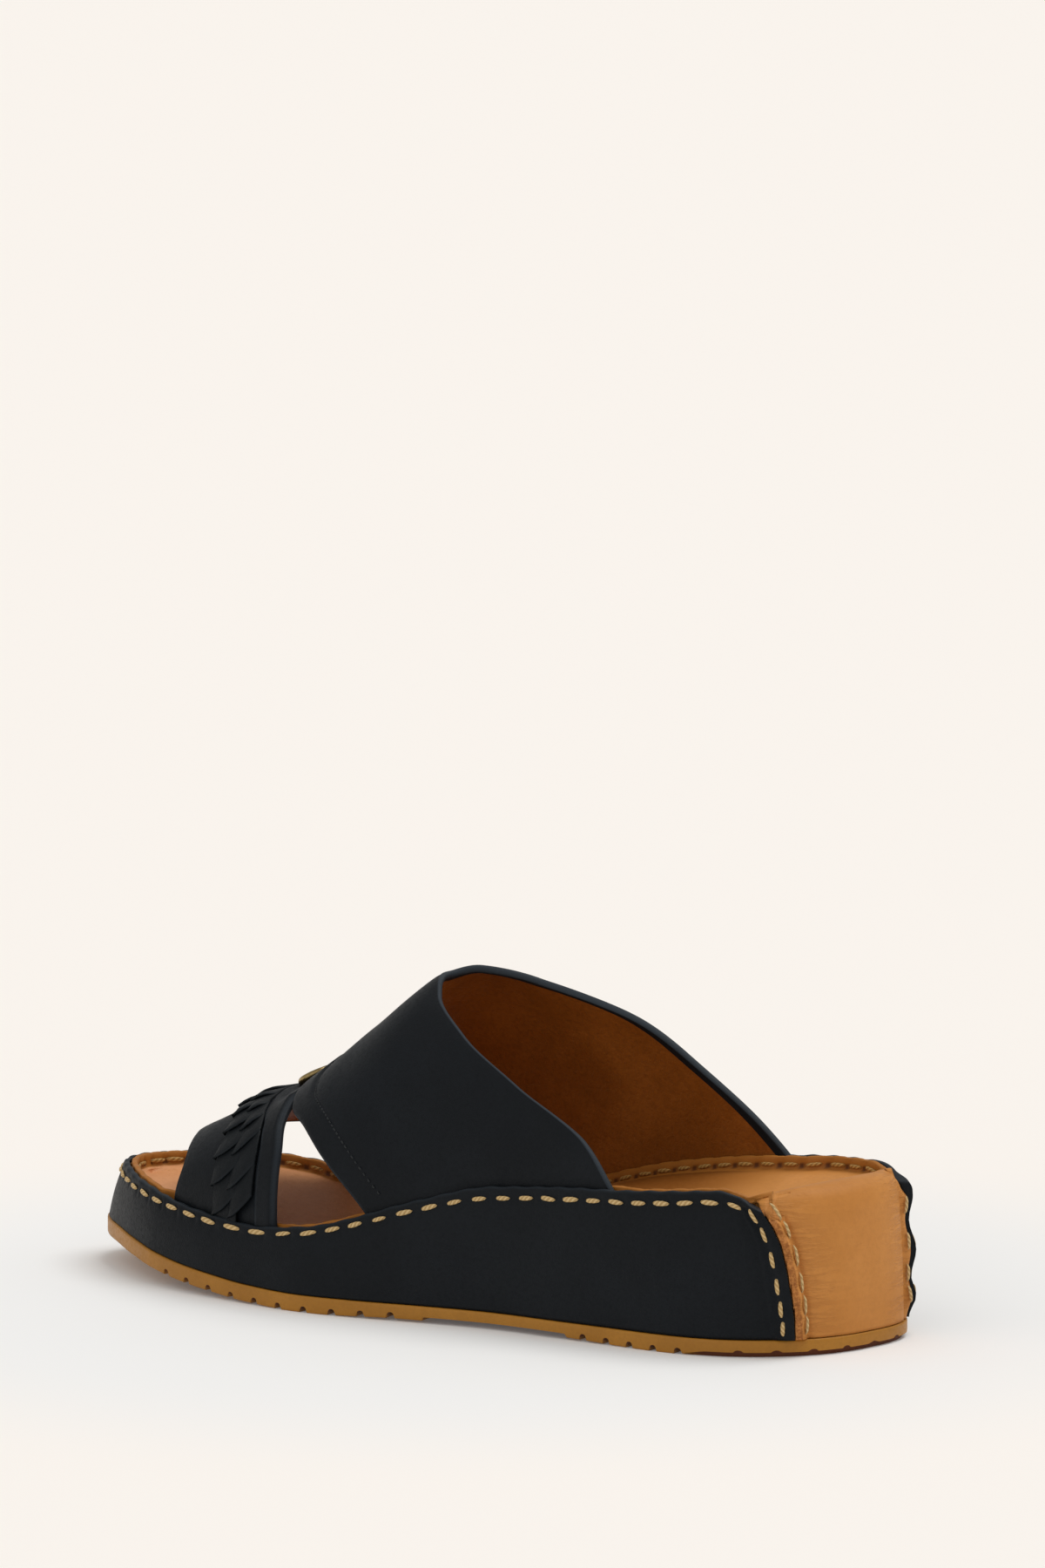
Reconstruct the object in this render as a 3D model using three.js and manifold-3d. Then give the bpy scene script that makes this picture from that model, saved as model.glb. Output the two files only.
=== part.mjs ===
// Slip-on leather sandal for the right foot: a wedge sole with a leather wall, a stitched ridge round
// its top, and a two-part open upper. Millimetres, +Z up, +X towards the heel, +Y the outer side.
import * as THREE from 'three';
import { mergeVertices } from 'three/addons/utils/BufferGeometryUtils.js';
import Module from 'manifold-3d';

// Driving sizes
const overallLength = 291.5;
const ballBreadth = 108;
const heelHeight = 53.8;
const instepHeight = 108;
const toeSpring = 9;
const outsoleThickness = 5.3;
const outsoleProud = 0.5;
const grooveWidth = 2.6;
const grooveDepth = 2;
const archRise = 0.8;
const archRecess = 1.2;
const wrapThickness = 1.8;
const wallLean = 2.5;
const toeLean = 3;
const wallBulge = 0.6;
const ridgeProud = 4.5;
const lipBelowRidge = 0.4;
const coverThickness = 2;
const bedDish = 4;
const upperThickness = 2.5;
const footDepth = 6;
const footStart = 3;
const footEase = 0.15;
const bridgeStep = 1.6;
const overlayThickness = 0.9;
const scaleLift = 1;
const ringWire = 2.2;
const ringAcross = 24;
const ringAlong = 16;
const clearance = 0.3;
const seatSlack = 0.4;

// Shares that shape the plan: how far the rounding of toe and heel reaches along the shoe, and how
// square it is. The heel end is turned a little to the outer side.
const toeRound = { reach: 0.375, power: 2 };
const heelRound = { reach: 0.2, power: 2.6 };
const heelTurn = 0.1;

// One row a section. along: share of the length from the toe. centre and half: shares of the ball
// breadth, before the ends are rounded. spring: share of the toe spring. inner and outer: top of the
// stitched ridge on each side, as shares of the heel height. dish: share of the footbed's dish.
const sections = [
  { along: 0, centre: 0.004, half: 0.42, spring: 1.0, inner: 0.599, outer: 0.599, dish: 0.3 },
  { along: 0.058, centre: 0.006, half: 0.445, spring: 0.967, inner: 0.597, outer: 0.597, dish: 0.35 },
  { along: 0.108, centre: 0.01, half: 0.478, spring: 0.8, inner: 0.582, outer: 0.58, dish: 0.4 },
  { along: 0.157, centre: 0.006, half: 0.492, spring: 0.567, inner: 0.545, outer: 0.543, dish: 0.4 },
  { along: 0.207, centre: 0.005, half: 0.494, spring: 0.356, inner: 0.506, outer: 0.498, dish: 0.4 },
  { along: 0.256, centre: 0.005, half: 0.494, spring: 0.2, inner: 0.476, outer: 0.467, dish: 0.4 },
  { along: 0.306, centre: 0.005, half: 0.496, spring: 0.067, inner: 0.461, outer: 0.45, dish: 0.4 },
  { along: 0.38, centre: 0, half: 0.5, spring: 0.0, inner: 0.498, outer: 0.457, dish: 0.35 },
  { along: 0.455, centre: 0.006, half: 0.483, spring: 0.0, inner: 0.6, outer: 0.507, dish: 0.3 },
  { along: 0.524, centre: 0.014, half: 0.451, spring: 0.0, inner: 0.721, outer: 0.597, dish: 0.3 },
  { along: 0.603, centre: 0.016, half: 0.416, spring: 0.0, inner: 0.829, outer: 0.729, dish: 0.4 },
  { along: 0.703, centre: -0.001, half: 0.395, spring: 0.0, inner: 0.881, outer: 0.855, dish: 0.7 },
  { along: 0.802, centre: -0.013, half: 0.382, spring: 0.0, inner: 0.911, outer: 0.937, dish: 1.0 },
  { along: 0.901, centre: -0.008, half: 0.385, spring: 0.0, inner: 0.957, outer: 0.974, dish: 1.0 },
  { along: 1.0, centre: 0.024, half: 0.378, spring: 0.0, inner: 0.989, outer: 0.989, dish: 0.6 },
];

// Height of the foot's top, and so of the upper, as shares of the instep height.
const instep = [
  { along: 0.058, top: 0.275 },
  { along: 0.126, top: 0.391 },
  { along: 0.152, top: 0.42 },
  { along: 0.178, top: 0.461 },
  { along: 0.207, top: 0.512 },
  { along: 0.237, top: 0.55 },
  { along: 0.264, top: 0.569 },
  { along: 0.302, top: 0.637 },
  { along: 0.38, top: 0.811 },
  { along: 0.459, top: 0.976 },
  { along: 0.546, top: 1.0 },
  { along: 0.644, top: 0.987 },
  { along: 0.841, top: 0.915 },
];

// Edges of the straps over the foot. over: share of the way from the inner foot of the strap (0) over
// the instep to the outer foot (1). The other columns are shares of the length.
const bandEdges = [
  { over: 0, front: 0.46, back: 0.763 },
  { over: 0.08, front: 0.404, back: 0.718 },
  { over: 0.16, front: 0.36, back: 0.618 },
  { over: 0.25, front: 0.319, back: 0.531 },
  { over: 0.35, front: 0.303, back: 0.471 },
  { over: 0.5, front: 0.305, back: 0.438 },
  { over: 0.65, front: 0.303, back: 0.515 },
  { over: 0.75, front: 0.319, back: 0.64 },
  { over: 0.84, front: 0.36, back: 0.711 },
  { over: 0.92, front: 0.404, back: 0.774 },
  { over: 1, front: 0.46, back: 0.826 },
];
const toeStrapEdges = [
  { over: 0, front: 0.175, back: 0.336, scaleFront: 0.252, scaleBack: 0.307 },
  { over: 0.12, front: 0.181, back: 0.331, scaleFront: 0.243, scaleBack: 0.302 },
  { over: 0.22, front: 0.175, back: 0.316, scaleFront: 0.239, scaleBack: 0.29 },
  { over: 0.3, front: 0.168, back: 0.309, scaleFront: 0.229, scaleBack: 0.272 },
  { over: 0.36, front: 0.157, back: 0.318, scaleFront: 0.213, scaleBack: 0.258 },
  { over: 0.5, front: 0.128, back: 0.334, scaleFront: 0.179, scaleBack: 0.243 },
  { over: 0.64, front: 0.142, back: 0.307, scaleFront: 0.213, scaleBack: 0.258 },
  { over: 0.7, front: 0.157, back: 0.301, scaleFront: 0.229, scaleBack: 0.272 },
  { over: 0.78, front: 0.177, back: 0.311, scaleFront: 0.239, scaleBack: 0.29 },
  { over: 0.88, front: 0.194, back: 0.331, scaleFront: 0.243, scaleBack: 0.302 },
  { over: 1, front: 0.197, back: 0.336, scaleFront: 0.252, scaleBack: 0.307 },
];

// How round the upper is in a section, at the toe strap and at the instep, and how far its top leans
// to the outer side.
const toeStrapForm = { side: 2.65, top: 2.8 };
const instepForm = { side: 1.66, top: 2.18 };
const topLean = 5;

// The two corner seams of the heel. foot and top: shares of the way round the rim from the toe over
// the inner side; the inner seam slants back as it comes down. proud: how far its edge stands out.
// corner: how far the ridge drops as it turns down into the seam, over cornerRun of the way round.
const nearSeam = { foot: 0.455, top: 0.442, proud: 4.5, corner: 6 };
const farSeam = { foot: 0.537, top: 0.537, proud: 2.8, corner: 4.5 };
const cornerRun = 0.028;

// Tread: where the grooves lie along the sole, and the notches round the back of the heel.
const foreGrooves = { first: 0.182, last: 0.495, count: 10 };
const heelGrooves = { first: 0.734, last: 0.855, count: 5 };
const archEnds = { first: 0.4, full: 0.5, less: 0.68, last: 0.83 };
const archSpan = { first: 0.532, last: 0.712 };
const heelNotches = { first: 0.43, last: 0.57, count: 9 };

const stations = 72;
const wasm = await Module();
wasm.setup();

function smooth(low, high, value) {
  const t = Math.min(Math.max((value - low) / (high - low), 0), 1);
  return t * t * (3 - 2 * t);
}

// Smooth curve through one column of a table, with no overshoot between its rows.
function column(table, axis, name) {
  const x = table.map((row) => row[axis]);
  const y = table.map((row) => row[name]);
  const slope = y.slice(1).map((value, i) => (value - y[i]) / (x[i + 1] - x[i]));
  const tangent = y.map((_, i) => {
    if (i === 0) return slope[0];
    if (i === y.length - 1) return slope[i - 1];
    if (slope[i - 1] * slope[i] <= 0) return 0;
    return (2 * slope[i - 1] * slope[i]) / (slope[i - 1] + slope[i]);
  });
  return (value) => {
    const v = Math.min(Math.max(value, x[0]), x[x.length - 1]);
    let i = 0;
    while (i < x.length - 2 && v > x[i + 1]) i += 1;
    const span = x[i + 1] - x[i];
    const t = (v - x[i]) / span;
    const a = (1 + 2 * t) * (1 - t) * (1 - t);
    const b = t * (1 - t) * (1 - t);
    const c = t * t * (3 - 2 * t);
    const d = t * t * (t - 1);
    return a * y[i] + b * span * tangent[i] + c * y[i + 1] + d * span * tangent[i + 1];
  };
}

const centreShare = column(sections, 'along', 'centre');
const halfShare = column(sections, 'along', 'half');
const springShare = column(sections, 'along', 'spring');
const innerShare = column(sections, 'along', 'inner');
const outerShare = column(sections, 'along', 'outer');
const dishShare = column(sections, 'along', 'dish');
const topShare = column(instep, 'along', 'top');

function endRounding(distance, { reach, power }) {
  const t = Math.min(distance / reach, 1);
  return (1 - (1 - t) ** power) ** (1 / power);
}

// Outline of the foot of the wall on one side (-1 inner, 1 outer).
function sideOutline(side, along) {
  const ends = endRounding(along, toeRound) * endRounding(1 - along, heelRound);
  const centre = ballBreadth * centreShare(along);
  const reach = side * ballBreadth * halfShare(along) * ends;
  const turn = heelTurn * reach * smooth(1 - 2 * heelRound.reach, 1, along);
  return { x: overallLength * (along - 0.5) + turn, y: centre + reach, along };
}

// The outline as a dense loop, from the toe over the inner side to the heel and back on the outer
// side, with each side measured by its own arc length.
function denseRim(count) {
  const half = (side) => {
    const points = [];
    for (let i = 0; i <= count; i += 1) {
      points.push(sideOutline(side, (1 - Math.cos((Math.PI * i) / count)) / 2));
    }
    let run = 0;
    points.forEach((point, i) => {
      if (i > 0) run += Math.hypot(point.x - points[i - 1].x, point.y - points[i - 1].y);
      point.run = run;
    });
    points.forEach((point) => {
      point.share = (0.5 * point.run) / run;
    });
    return points;
  };
  const inner = half(-1);
  const outer = half(1).map((point) => ({ ...point, share: 1 - point.share })).reverse();
  const loop = [...inner.slice(0, -1), ...outer.slice(0, -1)];
  loop.forEach((point, i) => {
    const before = loop[(i + loop.length - 1) % loop.length];
    const after = loop[(i + 1) % loop.length];
    const length = Math.hypot(after.x - before.x, after.y - before.y);
    point.nx = -(after.y - before.y) / length;
    point.ny = (after.x - before.x) / length;
  });
  const turnsOut = loop[Math.floor(count / 2)].ny < 0 ? 1 : -1;
  loop.forEach((point) => {
    point.nx *= turnsOut;
    point.ny *= turnsOut;
  });
  return loop;
}

const rimLoop = denseRim(240);
const rimLength = rimLoop.reduce((sum, point, i) => {
  const next = rimLoop[(i + 1) % rimLoop.length];
  return sum + Math.hypot(next.x - point.x, next.y - point.y);
}, 0);

// Point, outward direction and station of the rim at a share of the way round.
function rim(share) {
  const s = ((share % 1) + 1) % 1;
  let low = 0;
  let high = rimLoop.length;
  while (high - low > 1) {
    const middle = (low + high) >> 1;
    if (rimLoop[middle].share <= s) low = middle;
    else high = middle;
  }
  const a = rimLoop[low];
  const b = rimLoop[(low + 1) % rimLoop.length];
  const end = low + 1 === rimLoop.length ? 1 : b.share;
  const t = (s - a.share) / (end - a.share);
  const mix = (key) => a[key] + (b[key] - a[key]) * t;
  const length = Math.hypot(mix('nx'), mix('ny'));
  const [nx, ny] = [mix('nx') / length, mix('ny') / length];
  return { x: mix('x'), y: mix('y'), along: mix('along'), nx, ny };
}

function inset(place, distance, z) {
  return [place.x - place.nx * distance, place.y - place.ny * distance, z];
}

const wallFoot = (along) => toeSpring * springShare(along) + outsoleThickness;

// The tread follows the foot of the wall, but the waist stands off the floor.
function treadHeight(along) {
  const begins = smooth(archEnds.first, archEnds.full, along);
  const ends = smooth(archEnds.less, archEnds.last, along);
  return toeSpring * springShare(along) + archRise * begins * (1 - ends);
}

// Top of the ridge over a point of the plan: it differs from the inner to the outer side.
function ridgeTop(y, along) {
  const offset = (y - ballBreadth * centreShare(along)) / (2 * ballBreadth * halfShare(along));
  const across = Math.min(Math.max(0.5 + offset, 0), 1);
  const inner = innerShare(along);
  return heelHeight * (inner + (outerShare(along) - inner) * across);
}

// How far the top of the wall lies below the ridge where it turns down into a heel corner.
function cornerDrop(share) {
  const drop = (seam, distance) => seam.corner * (1 - Math.min(Math.max(distance / cornerRun, 0), 1)) ** 2;
  const s = ((share % 1) + 1) % 1;
  return s < 0.5 ? drop(nearSeam, nearSeam.top - s) : drop(farSeam, s - farSeam.top);
}

// How far the outer face of the wall stands inside the outline at a share of its height.
function wallInset(height, along) {
  const lean = wallLean + toeLean * (1 - smooth(0, 0.12, along));
  return lean * height - wallBulge * Math.sin(Math.PI * height);
}

const wallInner = (along) => wallInset(1, along) + wrapThickness + clearance;

// Room that the feet of the straps take between the wall and the turned-up edge of the footbed.
function footRoom(share, along) {
  const inner = share < 0.5;
  const edge = inner ? bandEdges[0] : bandEdges[bandEdges.length - 1];
  const strap = inner ? toeStrapEdges[0] : toeStrapEdges[toeStrapEdges.length - 1];
  const near = (span) => {
    const rise = smooth(span.front - 0.035, span.front - 0.01, along);
    return rise * (1 - smooth(span.back + 0.01, span.back + 0.035, along));
  };
  return (upperThickness + clearance + footEase) * Math.max(near(edge), near(strap));
}

// Height of the footbed's surface. inwards is 0 at its edge and 1 on the middle line. The heel end
// rises to a rounded crest.
const crestRun = { start: 26, end: 9 };
const crestBelowRidge = 1.2;

function bedHeight(x, y, along, inwards) {
  const edge = ridgeTop(y, along) - ridgeProud;
  const dished = edge - bedDish * dishShare(along) * (1 - (1 - inwards) ** 2);
  const back = overallLength / 2 + heelTurn * (y - ballBreadth * centreShare(1)) - x;
  const rise = 1 - smooth(crestRun.end, crestRun.start, back);
  const crest = heelHeight * innerShare(1) - crestBelowRidge;
  return dished + (crest - dished) * rise;
}

// Closed solid from a list of faces over shared points. Its faces are turned to point outwards.
function solidGeometry(points, faces) {
  const geometry = new THREE.BufferGeometry();
  geometry.setAttribute('position', new THREE.Float32BufferAttribute(points.flat(), 3));
  let volume = 0;
  for (const [a, b, c] of faces) {
    const [p, q, r] = [points[a], points[b], points[c]];
    volume += p[0] * (q[1] * r[2] - q[2] * r[1]);
    volume += p[1] * (q[2] * r[0] - q[0] * r[2]);
    volume += p[2] * (q[0] * r[1] - q[1] * r[0]);
  }
  const ordered = volume > 0 ? faces : faces.map(([a, b, c]) => [a, c, b]);
  geometry.setIndex(ordered.flat());
  return geometry;
}

// Solid from rings of points round the shoe, listed from the middle of one face over the edge to the
// middle of the other. Point k of a ring is paired across the shoe with the point that many places
// before its end, and the first and last ring are closed by strips between those pairs.
function stack(rings) {
  const count = rings[0].length;
  const points = rings.flat();
  const faces = [];
  for (let j = 0; j + 1 < rings.length; j += 1) {
    for (let k = 0; k < count; k += 1) {
      const next = (k + 1) % count;
      const [a, b, c, d] = [j * count + k, j * count + next, (j + 1) * count + next, (j + 1) * count + k];
      faces.push([a, b, c], [a, c, d]);
    }
  }
  const close = (first, flip) => {
    for (let k = 0; k < count / 2 - 1; k += 1) {
      const [a, b, c, d] = [first + k, first + k + 1, first + count - 2 - k, first + count - 1 - k];
      const pair = [[a, c, b], [a, d, c]];
      faces.push(...(flip ? pair.map(([p, q, r]) => [p, r, q]) : pair));
    }
  };
  close(0, false);
  close((rings.length - 1) * count, true);
  return solidGeometry(points, faces);
}

// Solid sheet between two grids of points with the same rows and columns.
function sheet(outer, inner) {
  const rows = outer.length;
  const columns = outer[0].length;
  const points = [...outer.flat(), ...inner.flat()];
  const top = (i, j) => i * columns + j;
  const under = (i, j) => rows * columns + i * columns + j;
  const faces = [];
  const quad = (a, b, c, d) => faces.push([a, b, c], [a, c, d]);
  for (let i = 0; i + 1 < rows; i += 1) {
    for (let j = 0; j + 1 < columns; j += 1) {
      quad(top(i, j), top(i + 1, j), top(i + 1, j + 1), top(i, j + 1));
      quad(under(i, j), under(i, j + 1), under(i + 1, j + 1), under(i + 1, j));
    }
    quad(top(i, 0), under(i, 0), under(i + 1, 0), top(i + 1, 0));
    quad(top(i + 1, columns - 1), under(i + 1, columns - 1), under(i, columns - 1), top(i, columns - 1));
  }
  for (let j = 0; j + 1 < columns; j += 1) {
    quad(top(0, j + 1), under(0, j + 1), under(0, j), top(0, j));
    quad(top(rows - 1, j), under(rows - 1, j), under(rows - 1, j + 1), top(rows - 1, j + 1));
  }
  return solidGeometry(points, faces);
}

function toManifold(geometry) {
  const bare = geometry.clone();
  bare.deleteAttribute('normal');
  bare.deleteAttribute('uv');
  const merged = mergeVertices(bare, 1e-4);
  return new wasm.Manifold(new wasm.Mesh({
    numProp: 3,
    vertProperties: new Float32Array(merged.attributes.position.array),
    triVerts: new Uint32Array(merged.index.array),
  }));
}

function fromManifold(solid) {
  const mesh = solid.getMesh();
  const geometry = new THREE.BufferGeometry();
  geometry.setAttribute('position', new THREE.BufferAttribute(mesh.vertProperties, 3));
  geometry.setIndex(new THREE.BufferAttribute(mesh.triVerts, 1));
  return geometry;
}

const stationShares = Array.from({ length: stations }, (_, k) => (k + 0.5) / stations);

// Points of one ring between its edge ring and the middle line of the shoe.
function towardsMiddle(edge, share, height) {
  return edge.map((point, k) => {
    const pair = edge[edge.length - 1 - k];
    const x = point[0] + (0.5 * (pair[0] + point[0]) - point[0]) * share;
    const y = point[1] + (0.5 * (pair[1] + point[1]) - point[1]) * share;
    const { along } = rim(stationShares[k]);
    return [x, y, height(x, y, along, share)];
  });
}

function ringAt(placed) {
  return stationShares.map((share) => placed(rim(share), share));
}

function outsole() {
  const ring = (height) => ringAt((place) => inset(place, -outsoleProud, height(place.along)));
  let body = toManifold(stack([ring(treadHeight), ring(wallFoot)]));
  const cut = (geometry, matrix) => {
    geometry.applyMatrix4(matrix);
    body = body.subtract(toManifold(geometry));
  };
  const across = ballBreadth * 1.2;
  const groove = (along) => {
    const step = 0.01;
    const slope = (treadHeight(along + step) - treadHeight(along - step)) / (2 * step * overallLength);
    const matrix = new THREE.Matrix4().makeRotationY(-Math.atan(slope));
    matrix.setPosition(overallLength * (along - 0.5), 0, treadHeight(along));
    const bar = new THREE.CylinderGeometry(1, 1, across, 10).scale(grooveWidth / 2, 1, grooveDepth);
    cut(bar, matrix);
  };
  for (const { first, last, count } of [foreGrooves, heelGrooves]) {
    for (let i = 0; i < count; i += 1) groove(first + ((last - first) * i) / (count - 1));
  }
  const archLength = overallLength * (archSpan.last - archSpan.first);
  const archMiddle = overallLength * ((archSpan.first + archSpan.last) / 2 - 0.5);
  const arch = new THREE.Matrix4().makeTranslation(archMiddle, 0, 0);
  cut(new THREE.BoxGeometry(archLength, across, 2 * (archRise + archRecess)), arch);
  for (let i = 0; i < heelNotches.count; i += 1) {
    const share = heelNotches.first + ((heelNotches.last - heelNotches.first) * i) / (heelNotches.count - 1);
    const place = rim(share);
    const matrix = new THREE.Matrix4().makeRotationZ(Math.atan2(place.ny, place.nx) - Math.PI / 2);
    matrix.setPosition(place.x, place.y, 0);
    cut(new THREE.CylinderGeometry(grooveDepth, grooveDepth, 4 * grooveWidth, 8), matrix);
  }
  return fromManifold(body);
}

// Inside the wall and the heel panel, with the gap that keeps them apart.
const wallSide = Math.max(wrapThickness, coverThickness) + clearance + seatSlack;
const heelEnd = (along) => smooth(0.93, 0.975, along);
const heelRoll = { inset: 6, drop: 2.2 };

function midsole() {
  const under = coverThickness + clearance + seatSlack;
  const placed = (height, extra, drop) => ringAt((place) => {
    const low = wallFoot(place.along) + clearance;
    const high = ridgeTop(place.y, place.along) - ridgeProud - under;
    const heel = heelEnd(place.along);
    const [x, y] = inset(place, wallSide + wallInset(height, place.along) + extra * heel, 0);
    const top = low + (high - low) * height;
    const crest = bedHeight(x, y, place.along, 0) - under - drop;
    return [x, y, height < 1 ? top : top + (crest - top) * heel];
  });
  const edge = placed(1, heelRoll.inset, heelRoll.drop);
  const top = (share) => towardsMiddle(edge, share, (...at) => bedHeight(...at) - under);
  const side = [placed(0, 0, 0), placed(0.7, 0.2 * heelRoll.inset, 0)];
  return stack([...side, edge, top(0.15), top(0.4), top(0.7), top(0.94)]);
}

// A strip that stands out of a heel corner along its seam. It fills the tangent distances given, on
// the side of rising shares where they are positive, and is rooted in its own sheet.
const flangeRoot = 0.9;

function seamFlange(seam, from, to, inside) {
  const heights = [0, 0.12, 0.3, 0.5, 0.7, 0.86, 0.95, 1];
  const grid = (tangent) => heights.map((height) => {
    const place = rim(seam.foot + (seam.top - seam.foot) * height);
    const low = wallFoot(place.along) + clearance;
    const z = low + (ridgeTop(place.y, place.along) - seam.corner - low) * height;
    const proud = seam.proud * (1 - 0.6 * smooth(0.85, 1, height)) * (1 - 0.3 * smooth(0.25, 0, height));
    const face = wallInset(height, place.along);
    return [face + inside, face, face - proud].map((distance) => {
      const [x, y] = inset(place, distance, 0);
      return [x - place.ny * tangent, y + place.nx * tangent, z];
    });
  });
  return toManifold(sheet(grid(from), grid(to)));
}

// The leather wall: from the outer heel seam round the toe to the inner one. Its two ends turn
// outwards as flanges.
function sideWrap() {
  const heights = [0, 0.3, 0.7, 1];
  const steps = 84;
  const grid = (offset) => heights.map((height) => {
    const start = farSeam.foot + (farSeam.top - farSeam.foot) * height - 1;
    const end = nearSeam.foot + (nearSeam.top - nearSeam.foot) * height;
    return Array.from({ length: steps + 1 }, (_, i) => {
      const place = rim(start + ((end - start) * i) / steps);
      const drop = cornerDrop(farSeam.top - 1 + ((nearSeam.top - farSeam.top + 1) * i) / steps);
      const low = wallFoot(place.along) + clearance;
      const z = low + (ridgeTop(place.y, place.along) - drop - low) * height;
      return inset(place, wallInset(height, place.along) + offset, z);
    });
  });
  const wall = toManifold(sheet(grid(0), grid(wrapThickness)));
  const root = wrapThickness * flangeRoot;
  const near = seamFlange(nearSeam, -wrapThickness, 0, root);
  const far = seamFlange(farSeam, 0, wrapThickness, root);
  return fromManifold(wall.add(near).add(far));
}

const lipEdge = (place, share) => wallInner(place.along) + footRoom(share, place.along);

// Between the two seams the footbed has no turned-up edge: it runs into the crest of the heel panel.
function heelPart(share) {
  const spread = 0.012;
  const seam = 0.5 * (nearSeam.foot + nearSeam.top);
  const begins = smooth(seam - spread, seam + spread, share);
  return begins * (1 - smooth(farSeam.top - spread, farSeam.top + spread, share));
}

function footbed() {
  const crestOverlap = 10.5;
  const lipSunk = 0.1;
  const placed = (extra, height) => ringAt((place, share) => {
    const heel = heelPart(share);
    const lip = lipEdge(place, share) + extra;
    const [x, y] = inset(place, lip + (crestOverlap + 0.2 * extra - lip) * heel, 0);
    return [x, y, height(x, y, place.along, heel, share)];
  });
  const bed = (x, y, along) => bedHeight(x, y, along, 0);
  const lipTop = (x, y, along, heel, share) => {
    const lip = Math.max(ridgeTop(y, along) - lipBelowRidge - cornerDrop(share), bed(x, y, along) + 0.3);
    return lip + (bed(x, y, along) - lipSunk - lip) * heel;
  };
  const fillet = (x, y, along, heel) => bed(x, y, along) + 0.8 * (1 - heel);
  const under = (x, y, along) => bed(x, y, along) - coverThickness;
  const inner = placed(coverThickness + 3, bed);
  const top = (share) => towardsMiddle(inner, share, bedHeight);
  const below = (share) => towardsMiddle(inner, share, (...at) => bedHeight(...at) - coverThickness);
  return toManifold(stack([
    top(0.94), top(0.65), top(0.3), inner,
    placed(coverThickness + 0.5, fillet),
    placed(coverThickness, lipTop),
    placed(0, lipTop),
    placed(0, under),
    below(0.3), below(0.65), below(0.94),
  ]));
}

// Path of the heel panel in section, from the footbed over the crest. inset is measured from the
// outline and drop from the crest.
const crestPath = [
  { inset: 17, drop: 0 },
  { inset: 13, drop: 0 },
  { inset: 9.5, drop: 0 },
  { inset: 6.5, drop: 0.4 },
  { inset: 4.2, drop: 1.6 },
  { inset: 2.7, drop: 3.8 },
  { inset: 1.9, drop: 7 },
];
const panelHeights = [0.6, 0.3, 0];

function heelPanel() {
  const steps = 16;
  const path = (share) => {
    const place = rim(share);
    const low = wallFoot(place.along) + clearance;
    const span = ridgeTop(place.y, place.along) - low;
    const rolled = crestPath.map((row) => {
      const [x, y] = inset(place, row.inset, 0);
      return { distance: row.inset, z: bedHeight(x, y, place.along, 0) - row.drop };
    });
    const down = panelHeights.map((part) => {
      return { distance: wallInset(part, place.along), z: low + span * part };
    });
    const points = [...rolled, ...down];
    points.forEach((point) => {
      point.height = Math.min((point.z - low) / span, 1);
    });
    return { place, points };
  };
  const between = (seam, height) => seam.foot + (seam.top - seam.foot) * height;
  const joint = (2 * clearance) / rimLength;
  const grid = (offset) => Array.from({ length: steps + 1 }, (_, i) => {
    const across = i / steps;
    const rough = path(0.5 * (nearSeam.foot + nearSeam.top) * (1 - across) + farSeam.foot * across);
    return rough.points.map(({ height }, j) => {
      const start = between(nearSeam, height) + joint;
      const end = between(farSeam, height) - joint;
      const { place, points } = path(start + (end - start) * across);
      const before = points[Math.max(j - 1, 0)];
      const after = points[Math.min(j + 1, points.length - 1)];
      const length = Math.hypot(after.distance - before.distance, after.z - before.z);
      const bottom = j === points.length - 1;
      const inwards = bottom ? 1 : -(after.z - before.z) / length;
      const downwards = bottom ? 0 : (after.distance - before.distance) / length;
      return inset(place, points[j].distance + offset * inwards, points[j].z + offset * downwards);
    });
  });
  return toManifold(sheet(grid(0), grid(coverThickness)));
}

function insoleCover() {
  const inside = coverThickness * flangeRoot;
  const near = seamFlange(nearSeam, clearance, clearance + coverThickness, inside);
  const far = seamFlange(farSeam, -clearance - coverThickness, -clearance, inside);
  const hide = footbed().add(heelPanel()).add(near).add(far);
  return fromManifold(hide.subtract(instepBand(clearance)).subtract(toeStrap(clearance)));
}

// The surface of the last over the foot. over runs from the inner foot of a strap (0) over the top
// to the outer foot (1).
function lastPoint(along, over) {
  const inner = sideOutline(-1, along);
  const outer = sideOutline(1, along);
  const low = inner.y + wallInner(along) + footEase;
  const high = outer.y - wallInner(along) - footEase;
  const band = smooth(0.2, 0.5, along);
  const side = toeStrapForm.side + (instepForm.side - toeStrapForm.side) * band;
  const top = toeStrapForm.top + (instepForm.top - toeStrapForm.top) * band;
  const angle = Math.PI * over;
  const c = Math.cos(angle);
  const s = Math.max(Math.sin(angle), 0);
  const y = (low + high) / 2 - 0.5 * (high - low) * Math.sign(c) * Math.abs(c) ** (2 / side);
  const base = ridgeTop(y, along) - footStart;
  const z = base + (instepHeight * topShare(along) - base) * s ** (2 / top);
  return new THREE.Vector3(overallLength * (along - 0.5), y + topLean * s * s, z);
}

// A point off the last's surface by a distance outwards.
function liftedPoint(along, over, lift) {
  const d = 0.004;
  const a = Math.min(Math.max(over, d), 1 - d);
  const du = lastPoint(along + d, over).sub(lastPoint(along - d, over));
  const dv = lastPoint(along, a + d).sub(lastPoint(along, a - d));
  const normal = du.cross(dv).normalize();
  return lastPoint(along, over).addScaledVector(normal, lift).toArray();
}

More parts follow.
